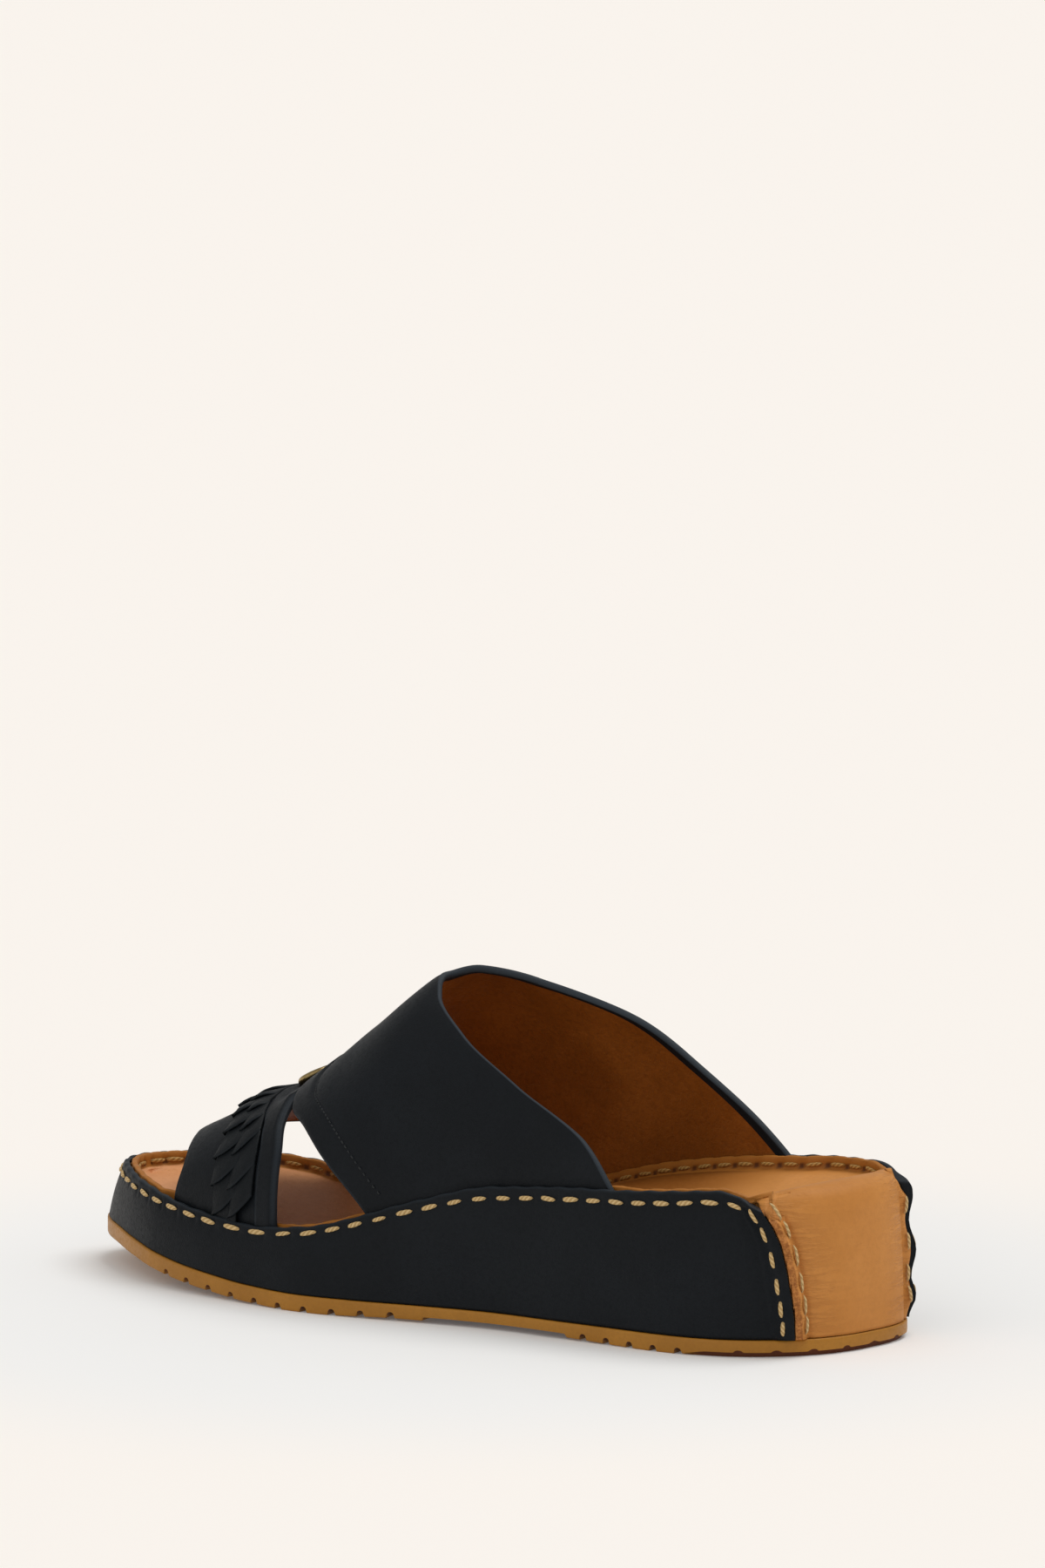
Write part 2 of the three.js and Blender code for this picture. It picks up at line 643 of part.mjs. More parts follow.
// A strap between two edges of a table: a wall of the upper's thickness whose ends run down into
// the ridge as feet. tuck lowers the surface, and grow makes the whole strap larger all round.
function strap({ table, steps, across, tuck, grow }) {
  const front = column(table, 'over', 'front');
  const back = column(table, 'over', 'back');
  const spread = grow / overallLength;
  const grid = (lift) => {
    const rows = [];
    const row = (over, down) => Array.from({ length: across + 1 }, (_, j) => {
      const start = front(over) - spread;
      const along = start + ((back(over) + spread - start) * j) / across;
      const side = over < 0.5 ? -1 : 1;
      if (down > 0) {
        const [x, y, z] = lastPoint(along, over).toArray();
        return [x, y + side * lift, z - down];
      }
      return liftedPoint(along, over, lift - tuck(along, over));
    });
    rows.push(row(0, footDepth - footStart + grow));
    for (let i = 0; i <= steps; i += 1) rows.push(row(i / steps, 0));
    rows.push(row(1, footDepth - footStart + grow));
    return rows;
  };
  return toManifold(sheet(grid(grow), grid(-upperThickness - grow)));
}

// Where the toe strap passes under the front edge of the instep band it lies lower.
function bridgeTuck(along, over) {
  const middle = smooth(0.28, 0.4, over) * (1 - smooth(0.6, 0.72, over));
  return bridgeStep * middle * smooth(0.25, 0.295, along);
}

const instepBand = (grow) => strap({ table: bandEdges, steps: 36, across: 9, tuck: () => 0, grow });
const toeStrap = (grow) => strap({ table: toeStrapEdges, steps: 36, across: 6, tuck: bridgeTuck, grow });
const upper = () => fromManifold(instepBand(0).add(toeStrap(0)));

// The band of overlapping scales on the toe strap. Each row of scales steps down towards the nearer
// foot of the strap, along a slanted line.
function scaleOverlay() {
  const front = column(toeStrapEdges, 'over', 'scaleFront');
  const back = column(toeStrapEdges, 'over', 'scaleBack');
  const rowsPerSide = 6;
  const first = 0.05;
  const slant = 0.075;
  const across = 3;
  const step = 0.004;
  const places = [];
  for (let i = 0; i < rowsPerSide; i += 1) {
    const low = first + ((0.5 - first) * i) / rowsPerSide;
    const high = first + ((0.5 - first) * (i + 1)) / rowsPerSide;
    places.push({ over: low + (i > 0 ? step : 0), rise: i === 0 ? 0.2 : 1 });
    places.push({ over: i === rowsPerSide - 1 ? 0.5 : high - step, rise: i === rowsPerSide - 1 ? 1 : 0.1 });
  }
  const mirrored = places.slice(0, -1).reverse().map(({ over, rise }) => ({ over: 1 - over, rise }));
  const rows = [...places, ...mirrored];
  const grid = (lift, stepped) => rows.map(({ over, rise }) => {
    return Array.from({ length: across + 1 }, (_, j) => {
      const side = over < 0.5 ? 1 : -1;
      const nearer = Math.min(over, 1 - over);
      const fade = smooth(first, 0.14, nearer) * smooth(0.5, 0.4, nearer);
      const at = over + side * slant * fade * (j / across - 0.5);
      const along = front(at) + ((back(at) - front(at)) * j) / across;
      return liftedPoint(along, at, lift + (stepped ? scaleLift * rise : 0));
    });
  });
  const slab = toManifold(sheet(grid(clearance + overlayThickness, true), grid(-upperThickness / 2, false)));
  return fromManifold(slab.subtract(toeStrap(clearance)));
}

// Frame of the place on top of the foot where the toe strap meets the instep band.
function bridgeFrame(along) {
  const at = lastPoint(along, 0.5);
  const forward = lastPoint(along - 0.012, 0.5);
  const backward = lastPoint(along + 0.012, 0.5);
  const run = backward.sub(forward).normalize();
  const sideways = new THREE.Vector3(0, 1, 0);
  const normal = run.clone().cross(sideways).normalize();
  return new THREE.Matrix4().makeBasis(run, sideways, normal).setPosition(at);
}

const bridgeAlong = 0.281;
const loopSide = 2;
const loopThickness = 2.4;
const ringClear = 1.2;

// An oval link: the wire is round, and its middle line is an ellipse.
function brassRing() {
  const ring = new THREE.TorusGeometry(0.5, ringWire / ringAcross, 8, 32);
  ring.deleteAttribute('normal');
  ring.deleteAttribute('uv');
  const geometry = mergeVertices(ring, 1e-5);
  const position = geometry.attributes.position;
  for (let i = 0; i < position.count; i += 1) {
    const x = position.getX(i);
    const y = position.getY(i);
    const radius = Math.hypot(x, y);
    const wire = 0.5 * (radius - 0.5) * ringAcross;
    const reachX = 0.5 * (ringAlong - ringWire) + wire;
    const reachY = 0.5 * (ringAcross - ringWire) + wire;
    const height = 0.5 * position.getZ(i) * ringAcross;
    position.setXYZ(i, (reachX * x) / radius, (reachY * y) / radius, height);
  }
  geometry.applyMatrix4(new THREE.Matrix4().makeTranslation(0, 0, ringClear + ringWire / 2));
  geometry.applyMatrix4(bridgeFrame(bridgeAlong));
  return geometry;
}

function leatherLoop() {
  const width = ringAcross - 2 * ringWire - 2 * loopSide;
  const length = ringAlong - 2 * ringWire - 2 * clearance;
  const outline = new THREE.Shape();
  outline.absellipse(0, 0, length / 2, width / 2, 0, 2 * Math.PI);
  const form = { depth: loopThickness, bevelEnabled: false, curveSegments: 10 };
  const pad = new THREE.ExtrudeGeometry(outline, form);
  pad.applyMatrix4(new THREE.Matrix4().makeTranslation(0, 0, clearance));
  pad.applyMatrix4(bridgeFrame(bridgeAlong));
  return pad;
}

// The finished shoe
const gumRubber = { color: 0xb08238, roughness: 0.55, metalness: 0 };
const blackLeather = { color: 0x1e2123, roughness: 0.5, metalness: 0 };
const tanLeather = { color: 0xb47d46, roughness: 0.55, metalness: 0 };
const corkCore = { color: 0x8a6a48, roughness: 0.9, metalness: 0 };
const brass = { color: 0xb08d45, roughness: 0.3, metalness: 1 };

const pieces = [
  ['outsole', outsole(), gumRubber],
  ['midsole', midsole(), corkCore],
  ['side_wrap', sideWrap(), blackLeather],
  ['insole_cover', insoleCover(), tanLeather],
  ['upper', upper(), blackLeather],
  ['scale_overlay', scaleOverlay(), blackLeather],
  ['brass_ring', brassRing(), brass],
  ['leather_loop', leatherLoop(), blackLeather],
];

const shoe = new THREE.Group();
for (const [name, geometry, finish] of pieces) {
  const mesh = new THREE.Mesh(geometry, new THREE.MeshStandardMaterial(finish));
  mesh.name = name;
  shoe.add(mesh);
}

// The origin lies under the middle of the shoe, on the plane that it stands on.
const box = new THREE.Box3().setFromObject(shoe);
const middle = box.getCenter(new THREE.Vector3());
shoe.position.set(-middle.x, -middle.y, -box.min.z);

export default shoe;
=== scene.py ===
# %% [markdown]
# # A slip-on leather sandal
#
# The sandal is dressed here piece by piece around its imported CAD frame. It is a right shoe: a wedge
# sole in a black leather wall, a tan footbed whose hide rolls over the heel, a wide instep band, and a
# toe strap covered in leather scales. Lengths are millimetres until a mesh is made. +X runs from toe to
# heel, +Y to the outer side and +Z up.

import bmesh
import bpy
import numpy as np
from mathutils import Matrix, Vector


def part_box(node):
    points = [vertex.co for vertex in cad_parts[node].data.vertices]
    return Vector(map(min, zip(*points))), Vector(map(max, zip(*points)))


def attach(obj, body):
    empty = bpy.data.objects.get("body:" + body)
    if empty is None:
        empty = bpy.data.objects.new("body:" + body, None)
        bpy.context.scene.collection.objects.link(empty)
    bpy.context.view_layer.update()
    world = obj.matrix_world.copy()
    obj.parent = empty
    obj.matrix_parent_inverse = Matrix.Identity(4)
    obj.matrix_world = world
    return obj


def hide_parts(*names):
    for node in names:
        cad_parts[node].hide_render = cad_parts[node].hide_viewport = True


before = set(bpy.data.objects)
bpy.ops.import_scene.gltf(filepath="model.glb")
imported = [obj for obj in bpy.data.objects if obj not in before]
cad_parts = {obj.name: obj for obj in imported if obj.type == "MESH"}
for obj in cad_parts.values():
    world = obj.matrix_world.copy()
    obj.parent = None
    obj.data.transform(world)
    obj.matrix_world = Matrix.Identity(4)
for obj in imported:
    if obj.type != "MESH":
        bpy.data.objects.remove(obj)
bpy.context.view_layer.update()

# %% [markdown]
# ## The last and its tables
#
# A shoe is built on a last, and its shape is described best in sections. Each row below is one section
# at a share of the length from the toe, and a smooth curve runs through each column. The tables and
# sizes are those of the frame, so that every piece drawn from them lies where the frame has it.

# %% Driving sizes
overall_length = 291.5
ball_breadth = 108
heel_height = 53.8
instep_height = 108
toe_spring = 9
outsole_thickness = 5.3
outsole_proud = 0.5
groove_width, groove_depth = 2.6, 2.0
arch_rise, arch_recess = 0.8, 1.2
wrap_thickness = 1.8
wall_lean, toe_lean, wall_bulge = 2.5, 3, 0.6
ridge_proud = 4.5
cover_thickness = 2
bed_dish = 4
upper_thickness = 2.5
foot_depth, foot_start, foot_ease = 6, 3, 0.15
foot_down = foot_depth - foot_start
bridge_step = 1.6
clearance = 0.3
toe_round = {"reach": 0.375, "power": 2}
heel_round = {"reach": 0.2, "power": 2.6}
heel_turn = 0.1

# %% Sections of the sole
section_columns = ("along", "centre", "half", "spring", "inner", "outer", "dish")
sections = np.array([
    (0, 0.004, 0.42, 1.0, 0.599, 0.599, 0.3),
    (0.058, 0.006, 0.445, 0.967, 0.597, 0.597, 0.35),
    (0.108, 0.01, 0.478, 0.8, 0.582, 0.58, 0.4),
    (0.157, 0.006, 0.492, 0.567, 0.545, 0.543, 0.4),
    (0.207, 0.005, 0.494, 0.356, 0.506, 0.498, 0.4),
    (0.256, 0.005, 0.494, 0.2, 0.476, 0.467, 0.4),
    (0.306, 0.005, 0.496, 0.067, 0.461, 0.45, 0.4),
    (0.38, 0, 0.5, 0, 0.498, 0.457, 0.35),
    (0.455, 0.006, 0.483, 0, 0.6, 0.507, 0.3),
    (0.524, 0.014, 0.451, 0, 0.721, 0.597, 0.3),
    (0.603, 0.016, 0.416, 0, 0.829, 0.729, 0.4),
    (0.703, -0.001, 0.395, 0, 0.881, 0.855, 0.7),
    (0.802, -0.013, 0.382, 0, 0.911, 0.937, 1.0),
    (0.901, -0.008, 0.385, 0, 0.957, 0.974, 1.0),
    (1.0, 0.024, 0.378, 0, 0.989, 0.989, 0.6),
])

# %% Height of the instep and edges of the straps
instep_columns = ("along", "top")
instep = np.array([
    (0.058, 0.275), (0.126, 0.391), (0.152, 0.42), (0.178, 0.461), (0.207, 0.512), (0.237, 0.55),
    (0.264, 0.569), (0.302, 0.637), (0.38, 0.811), (0.459, 0.976), (0.546, 1.0), (0.644, 0.987),
    (0.841, 0.915),
])
band_columns = ("over", "front", "back")
band_edges = np.array([
    (0, 0.46, 0.763), (0.08, 0.404, 0.718), (0.16, 0.36, 0.618), (0.25, 0.319, 0.531),
    (0.35, 0.303, 0.471), (0.5, 0.305, 0.438), (0.65, 0.303, 0.515), (0.75, 0.319, 0.64),
    (0.84, 0.36, 0.711), (0.92, 0.404, 0.774), (1, 0.46, 0.826),
])
toe_columns = ("over", "front", "back", "scale_front", "scale_back")
toe_strap_edges = np.array([
    (0, 0.175, 0.336, 0.252, 0.307), (0.12, 0.181, 0.331, 0.243, 0.302),
    (0.22, 0.175, 0.316, 0.239, 0.29), (0.3, 0.168, 0.309, 0.229, 0.272),
    (0.36, 0.157, 0.318, 0.213, 0.258), (0.5, 0.128, 0.334, 0.179, 0.243),
    (0.64, 0.142, 0.307, 0.213, 0.258), (0.7, 0.157, 0.301, 0.229, 0.272),
    (0.78, 0.177, 0.311, 0.239, 0.29), (0.88, 0.194, 0.331, 0.243, 0.302),
    (1, 0.197, 0.336, 0.252, 0.307),
])
toe_strap_form = {"side": 2.65, "top": 2.8}
instep_form = {"side": 1.66, "top": 2.18}
top_lean = 5
near_seam = {"top": 0.4395, "proud": 4.5, "tan_proud": 4.0, "tan_edge": 2.7,
             "corner": 6.2, "run": 0.0255, "power": 2.6, "line": np.array([
    (0, 0.4552), (0.134, 0.4543), (0.249, 0.4533), (0.375, 0.4519), (0.472, 0.4508), (0.566, 0.4495),
    (0.653, 0.4479), (0.75, 0.4450), (0.85, 0.4408), (0.9, 0.4385), (1.0, 0.438)])}
far_seam = {"top": 0.537, "proud": 2.8, "tan_proud": 1.3, "tan_edge": 2.0,
            "corner": 4.5, "run": 0.028, "power": 2, "line": np.array([(0, 0.537), (1, 0.537)])}


# %% Curves through the tables
def smooth(low, high, value):
    """Eases from 0 at low to 1 at high: three times t squared less twice t cubed."""
    t = np.clip((value - low) / (high - low), 0, 1)
    return t * t * (3 - 2 * t)


def curve(table, columns, name):
    """Cubic through one column, with the harmonic mean of the neighbouring slopes at each row."""
    x, y = table[:, 0], table[:, columns.index(name)]
    slope = np.diff(y) / np.diff(x)
    a, b = slope[:-1], slope[1:]
    joint = np.where(a * b > 0, 2 * a * b / np.where(a + b == 0, 1, a + b), 0)
    tangent = np.concatenate([slope[:1], joint, slope[-1:]])

    def at(value):
        v = np.clip(value, x[0], x[-1])
        i = np.clip(np.searchsorted(x, v, side="right") - 1, 0, len(x) - 2)
        span = x[i + 1] - x[i]
        t = (v - x[i]) / span
        rising = t * t * (3 - 2 * t)
        bend = span * t * (1 - t) * ((1 - t) * tangent[i] - t * tangent[i + 1])
        return y[i] * (1 - rising) + y[i + 1] * rising + bend

    return at


centre_share, half_share, spring_share, inner_share, outer_share, dish_share = (
    curve(sections, section_columns, name) for name in section_columns[1:])
top_share = curve(instep, instep_columns, "top")
band_front, band_back = (curve(band_edges, band_columns, name) for name in band_columns[1:])
toe_front, toe_back, scale_front, scale_back = (
    curve(toe_strap_edges, toe_columns, name) for name in toe_columns[1:])
print("ball of the foot", 2 * ball_breadth * float(half_share(0.38)), "mm broad")


# %% [markdown]
# ## The rim of the sole
#
# Most of this shoe is swept round one line: the foot of the wall, seen from above. A point of that line
# is found from its share of the way round, from the toe over the inner side and back on the outer side.

# %% Outline and rim
def end_rounding(distance, reach, power):
    """A superellipse's quarter: how much of the breadth is left near an end of the shoe."""
    t = np.minimum(distance / reach, 1)
    return (1 - (1 - t) ** power) ** (1 / power)


def side_outline(side, along):
    """Outline on one side, -1 inner and 1 outer: the half breadth times both end roundings."""
    ends = end_rounding(along, **toe_round) * end_rounding(1 - along, **heel_round)
    reach = side * ball_breadth * half_share(along) * ends
    turn = heel_turn * reach * smooth(1 - 2 * heel_round["reach"], 1, along)
    return overall_length * (along - 0.5) + turn, ball_breadth * centre_share(along) + reach


def dense_rim(count=3000):
    """The outline as a loop, its stations eased at both ends, each side measured by arc length."""
    along = (1 - np.cos(np.linspace(0, np.pi, count + 1))) / 2
    halves = []
    for side in (-1, 1):
        x, y = side_outline(side, along)
        run = np.concatenate([[0], np.cumsum(np.hypot(np.diff(x), np.diff(y)))])
        halves.append((0.5 * run / run[-1], x, y, run[-1]))
    (sa, xa, ya, la), (sb, xb, yb, lb) = halves
    share = np.concatenate([sa, 1 - sb[::-1][1:]])
    x, y = np.concatenate([xa, xb[::-1][1:]]), np.concatenate([ya, yb[::-1][1:]])
    back = np.concatenate([along, along[::-1][1:]])
    dx = np.gradient(np.concatenate([x[-3:-1], x, x[1:3]]))[2:-2]
    dy = np.gradient(np.concatenate([y[-3:-1], y, y[1:3]]))[2:-2]
    length = np.hypot(dx, dy)
    return {"share": share, "x": x, "y": y, "along": back, "nx": dy / length, "ny": -dx / length,
            "length": la + lb}


rim_line = dense_rim()
if rim_line["ny"][len(rim_line["ny"]) // 4] > 0:
    rim_line["nx"], rim_line["ny"] = -rim_line["nx"], -rim_line["ny"]
rim_length = rim_line["length"]
print("way round the sole", round(rim_length, 1), "mm")


def rim(share):
    """Point, outward direction and station of the rim at shares of the way round."""
    s = np.mod(share, 1)
    place = {key: np.interp(s, rim_line["share"], rim_line[key]) for key in ("x", "y", "along", "nx", "ny")}
    length = np.hypot(place["nx"], place["ny"])
    place["nx"], place["ny"] = place["nx"] / length, place["ny"] / length
    return place


def inset(place, distance, z):
    """The rim's point moved inwards by a distance, at a height."""
    x = place["x"] - place["nx"] * distance
    y = place["y"] - place["ny"] * distance
    return np.stack(np.broadcast_arrays(x, y, z), axis=-1)


# %% Heights of tread, wall, ridge and footbed
arch_ends = {"first": 0.4, "full": 0.5, "less": 0.68, "last": 0.83}
crest_run = {"start": 26, "end": 9}
crest_below_ridge = 1.2


def wall_foot(along):
    """Foot of the wall: the toe spring plus the outsole."""
    return toe_spring * spring_share(along) + outsole_thickness


def tread_height(along):
    """Underside: the toe spring, and the waist held off the floor."""
    begins = smooth(arch_ends["first"], arch_ends["full"], along)
    ends = smooth(arch_ends["less"], arch_ends["last"], along)
    return toe_spring * spring_share(along) + arch_rise * begins * (1 - ends)


def ridge_top(y, along):
    """Top of the stitched ridge, which runs straight across from the inner to the outer side."""
    offset = (y - ball_breadth * centre_share(along)) / (2 * ball_breadth * half_share(along))
    across = np.clip(0.5 + offset, 0, 1)
    return heel_height * (inner_share(along) + (outer_share(along) - inner_share(along)) * across)


def corner_drop(share):
    """How far the ridge has come down as it turns into a heel corner: a power of the way run."""
    s = np.mod(share, 1)
    near = np.clip((near_seam["top"] - s) / near_seam["run"], 0, 1)
    far = np.clip((s - far_seam["top"]) / far_seam["run"], 0, 1)
    near_drop = near_seam["corner"] * (1 - near) ** near_seam["power"]
    return np.where(s < 0.5, near_drop, far_seam["corner"] * (1 - far) ** far_seam["power"])


def wall_inset(height, along):
    """The wall leans inwards as it rises, more at the toe, and bulges a little."""
    lean = wall_lean + toe_lean * (1 - smooth(0, 0.12, along))
    return lean * height - wall_bulge * np.sin(np.pi * height)


def wall_inner(along):
    """Inset of the wall's inner face at its top, with a clearance."""
    return wall_inset(1, along) + wrap_thickness + clearance


def foot_room(share, along):
    """Room for the feet of the straps between the wall and the lip of the footbed."""
    inner = np.mod(share, 1) < 0.5

    def near(edges, first, last):
        front = np.where(inner, edges[0, first], edges[-1, first])
        back = np.where(inner, edges[0, last], edges[-1, last])
        return smooth(front - 0.035, front - 0.01, along) * (1 - smooth(back + 0.01, back + 0.035, along))

    room = np.maximum(near(band_edges, 1, 2), near(toe_strap_edges, 1, 2))
    return (upper_thickness + clearance + foot_ease) * room


def bed_height(x, y, along, inwards):
    """Footbed: below the ridge, dished towards the middle, and rising to the crest at the heel."""
    dished = ridge_top(y, along) - ridge_proud - bed_dish * dish_share(along) * (1 - (1 - inwards) ** 2)
    back = overall_length / 2 + heel_turn * (y - ball_breadth * centre_share(1)) - x
    rise = 1 - smooth(crest_run["end"], crest_run["start"], back)
    crest = heel_height * inner_share(1) - crest_below_ridge
    return dished + (crest - dished) * rise


# %% The surface over the foot
def last_point(along, over):
    """A superellipse from side to side over the foot, whose powers change from toe to instep."""
    along, over = np.broadcast_arrays(np.asarray(along, float), np.asarray(over, float))
    inner_y, outer_y = side_outline(-1, along)[1], side_outline(1, along)[1]
    low = inner_y + wall_inner(along) + foot_ease
    high = outer_y - wall_inner(along) - foot_ease
    band = smooth(0.2, 0.5, along)
    side = toe_strap_form["side"] + (instep_form["side"] - toe_strap_form["side"]) * band
    top = toe_strap_form["top"] + (instep_form["top"] - toe_strap_form["top"]) * band
    c, s = np.cos(np.pi * over), np.maximum(np.sin(np.pi * over), 0)
    y = (low + high) / 2 - 0.5 * (high - low) * np.sign(c) * np.abs(c) ** (2 / side)
    base = ridge_top(y, along) - foot_start
    z = base + (instep_height * top_share(along) - base) * s ** (2 / top)
    return np.stack([overall_length * (along - 0.5), y + top_lean * s * s, z], axis=-1)


def lifted_point(along, over, lift):
    """A point of that surface moved outwards along its normal."""
    d = 0.004
    a = np.clip(over, d, 1 - d)
    du = last_point(along + d, over) - last_point(along - d, over)
    dv = last_point(along, a + d) - last_point(along, a - d)
    normal = np.cross(du, dv)
    normal /= np.linalg.norm(normal, axis=-1, keepdims=True)
    return last_point(along, over) + normal * np.asarray(lift)[..., None]


def bridge_tuck(along, over):
    """Where the toe strap passes under the instep band it lies lower."""
    middle = smooth(0.28, 0.4, over) * (1 - smooth(0.6, 0.72, over))
    return bridge_step * middle * smooth(0.25, 0.295, along)


# %% [markdown]
# ## From arrays to meshes
#
# Each piece is a grid of points, worked out as one array. A grid whose last column meets its first is a
# tube, and its two ends are closed by flat caps. The helper below also keeps a soft shading and a map of
# the grid, so that a pattern may follow the leather.

# %% Mesh helpers
to_metres = 0.001
low_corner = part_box("outsole")[0]
ring = rim((np.arange(72) + 0.5) / 72)
shift = Vector((low_corner.x - to_metres * (ring["x"] + outsole_proud * ring["nx"]).min(),
                low_corner.y - to_metres * (ring["y"] + outsole_proud * ring["ny"]).min(), 0))
print("shift from the last to the frame, mm", [round(1000 * v, 3) for v in shift])


def grid_mesh(name, grid, closed=False, caps=False, column_materials=None):
    """Quads between neighbouring points of a grid, or of many grids of one size at once. Caps close
    the two ends of a tube by strips from its first column to its last, and so on inwards."""
    grids = grid if grid.ndim == 4 else grid[None]
    count, rows, columns = grids.shape[:3]
    points = grids.reshape(-1, 3) * to_metres + np.array(shift)
    wide = columns if closed else columns - 1
    i, j = np.meshgrid(np.arange(rows - 1), np.arange(wide), indexing="ij")
    k = (j + 1) % columns
    one = np.stack([i * columns + j, (i + 1) * columns + j, (i + 1) * columns + k, i * columns + k], -1)
    one = one.reshape(-1, 4)
    index = np.zeros(len(one), np.int32)
    if column_materials is not None:
        index = np.tile(np.asarray(column_materials)[:wide], rows - 1)
    if caps:
        a = np.arange(columns // 2 - 1)
        strip = np.stack([a, a + 1, columns - 2 - a, columns - 1 - a], -1)
        one = np.concatenate([one, strip, strip[:, ::-1] + (rows - 1) * columns])
        index = np.concatenate([index, np.zeros(2 * len(a), np.int32)])
    faces = (one[None] + np.arange(count)[:, None, None] * rows * columns).reshape(-1, 4)
    mesh = bpy.data.meshes.new(name)
    mesh.from_pydata(points.tolist(), [], faces.tolist())
    mesh.polygons.foreach_set("use_smooth", np.ones(len(faces), bool))
    mesh.polygons.foreach_set("material_index", np.tile(index, count).astype(np.int32))
    corner = faces.ravel() % (rows * columns)
    uv = np.stack([(corner // columns) / (rows - 1), (corner % columns) / max(columns - 1, 1)], -1)
    mesh.uv_layers.new(name="grid").data.foreach_set("uv", uv.astype(np.float32).ravel())
    piece = bpy.data.objects.new(name, mesh)
    bpy.context.scene.collection.objects.link(piece)
    return piece


def face_outwards(piece):
    """Turns every face out, after the points that meet at a closed end have been merged."""
    shape = bmesh.new()
    shape.from_mesh(piece.data)
    bmesh.ops.remove_doubles(shape, verts=shape.verts, dist=1e-6)
    bmesh.ops.recalc_face_normals(shape, faces=shape.faces)
    shape.to_mesh(piece.data)
    shape.free()


def paint(piece, name, values):
    """Keeps one number a point on the piece, for its material to read."""
    attribute = piece.data.attributes.new(name, "FLOAT", "POINT")
    attribute.data.foreach_set("value", np.asarray(values, np.float32).ravel())


def dress(piece, slot_name, *materials, replaces=()):
    """Gives a piece its materials, lets it ride on the shoe and hides the frame's parts it replaces; the slot name
    is not used.
    """
    for material in materials:
        piece.data.materials.append(material)
    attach(piece, "root")
    if replaces:
        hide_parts(*replaces)
    print(piece.name, len(piece.data.polygons), "faces")
    return piece

# %% [markdown]
# ## Finishes
#
# Leather, rubber, thread and brass differ mostly in their small relief and in how evenly they take
# colour. Effects that several of them share are node groups with named sockets: the pebbled grain, the
# slow cloudiness of a hide, and the fibres of a cut edge. All of them read object coordinates.


# %% Node helpers
def new_group(name, inputs, outputs):
    """An empty node group with named number sockets, and its two ends."""
    tree = bpy.data.node_groups.new(name, "ShaderNodeTree")
    for label, value in inputs.items():
        socket = tree.interface.new_socket(label, in_out="INPUT", socket_type="NodeSocketFloat")
        socket.default_value = value
    for label in outputs:
        tree.interface.new_socket(label, in_out="OUTPUT", socket_type="NodeSocketFloat")
    return tree, tree.nodes.new("NodeGroupInput"), tree.nodes.new("NodeGroupOutput")


def feed(tree, socket, value):
    """Links a socket to another socket, or sets it to a plain value."""
    if isinstance(value, bpy.types.NodeSocket):
        tree.links.new(value, socket)
    else:
        socket.default_value = value


def maths(tree, operation, a, b=0.0, c=0.0):
    """One step of arithmetic on sockets or plain numbers."""
    node = tree.nodes.new("ShaderNodeMath")
    node.operation = operation
    for socket, value in zip(node.inputs, (a, b, c)):
        feed(tree, socket, value)
    return node.outputs[0]


def noise(tree, vector, scale, detail=3.0, roughness=0.55):
    """Fractal noise at a vector; detail counts its octaves."""
    node = tree.nodes.new("ShaderNodeTexNoise")
    tree.links.new(vector, node.inputs["Vector"])
    feed(tree, node.inputs["Scale"], scale)
    node.inputs["Detail"].default_value = detail
    node.inputs["Roughness"].default_value = roughness
    return node.outputs["Fac"]


def span(tree, value, low, high):
    """Spreads a value between two limits over the whole range from 0 to 1."""
    node = tree.nodes.new("ShaderNodeMapRange")
    node.interpolation_type = "SMOOTHSTEP"
    for label, number in (("Value", value), ("From Min", low), ("From Max", high)):
        feed(tree, node.inputs[label], number)
    return node.outputs["Result"]


# %% Shared effects
def make_grain():
    """Pebbles of leather: distance from the edges of small cells, with a finer noise over it."""
    tree, start, end = new_group("leather_grain", {"Scale": 1400.0, "Fine": 0.3}, ("Height",))
    where = tree.nodes.new("ShaderNodeTexCoord").outputs["Object"]
    cells = tree.nodes.new("ShaderNodeTexVoronoi")
    cells.feature = "DISTANCE_TO_EDGE"
    tree.links.new(where, cells.inputs["Vector"])
    tree.links.new(start.outputs["Scale"], cells.inputs["Scale"])
    pebble = span(tree, cells.outputs["Distance"], 0.0, 0.28)
    fine = noise(tree, where, maths(tree, "MULTIPLY", start.outputs["Scale"], 2.6))
    slow = noise(tree, where, maths(tree, "MULTIPLY", start.outputs["Scale"], 0.12))
    height = maths(tree, "MULTIPLY_ADD", fine, start.outputs["Fine"], pebble)
    tree.links.new(maths(tree, "ADD", height, slow), end.inputs["Height"])
    return tree


def make_cloud():
    """Slow cloudiness of a hide: two noises of different size, spread over the whole range."""
    tree, start, end = new_group("hide_cloud", {"Scale": 22.0}, ("Cloud", "Speckle"))
    where = tree.nodes.new("ShaderNodeTexCoord").outputs["Object"]
    broad = noise(tree, where, start.outputs["Scale"], 4.0, 0.6)
    tree.links.new(span(tree, broad, 0.36, 0.66), end.inputs["Cloud"])
    close = noise(tree, where, maths(tree, "MULTIPLY", start.outputs["Scale"], 30.0), 3.0, 0.7)
    tree.links.new(span(tree, close, 0.4, 0.7), end.inputs["Speckle"])
    return tree


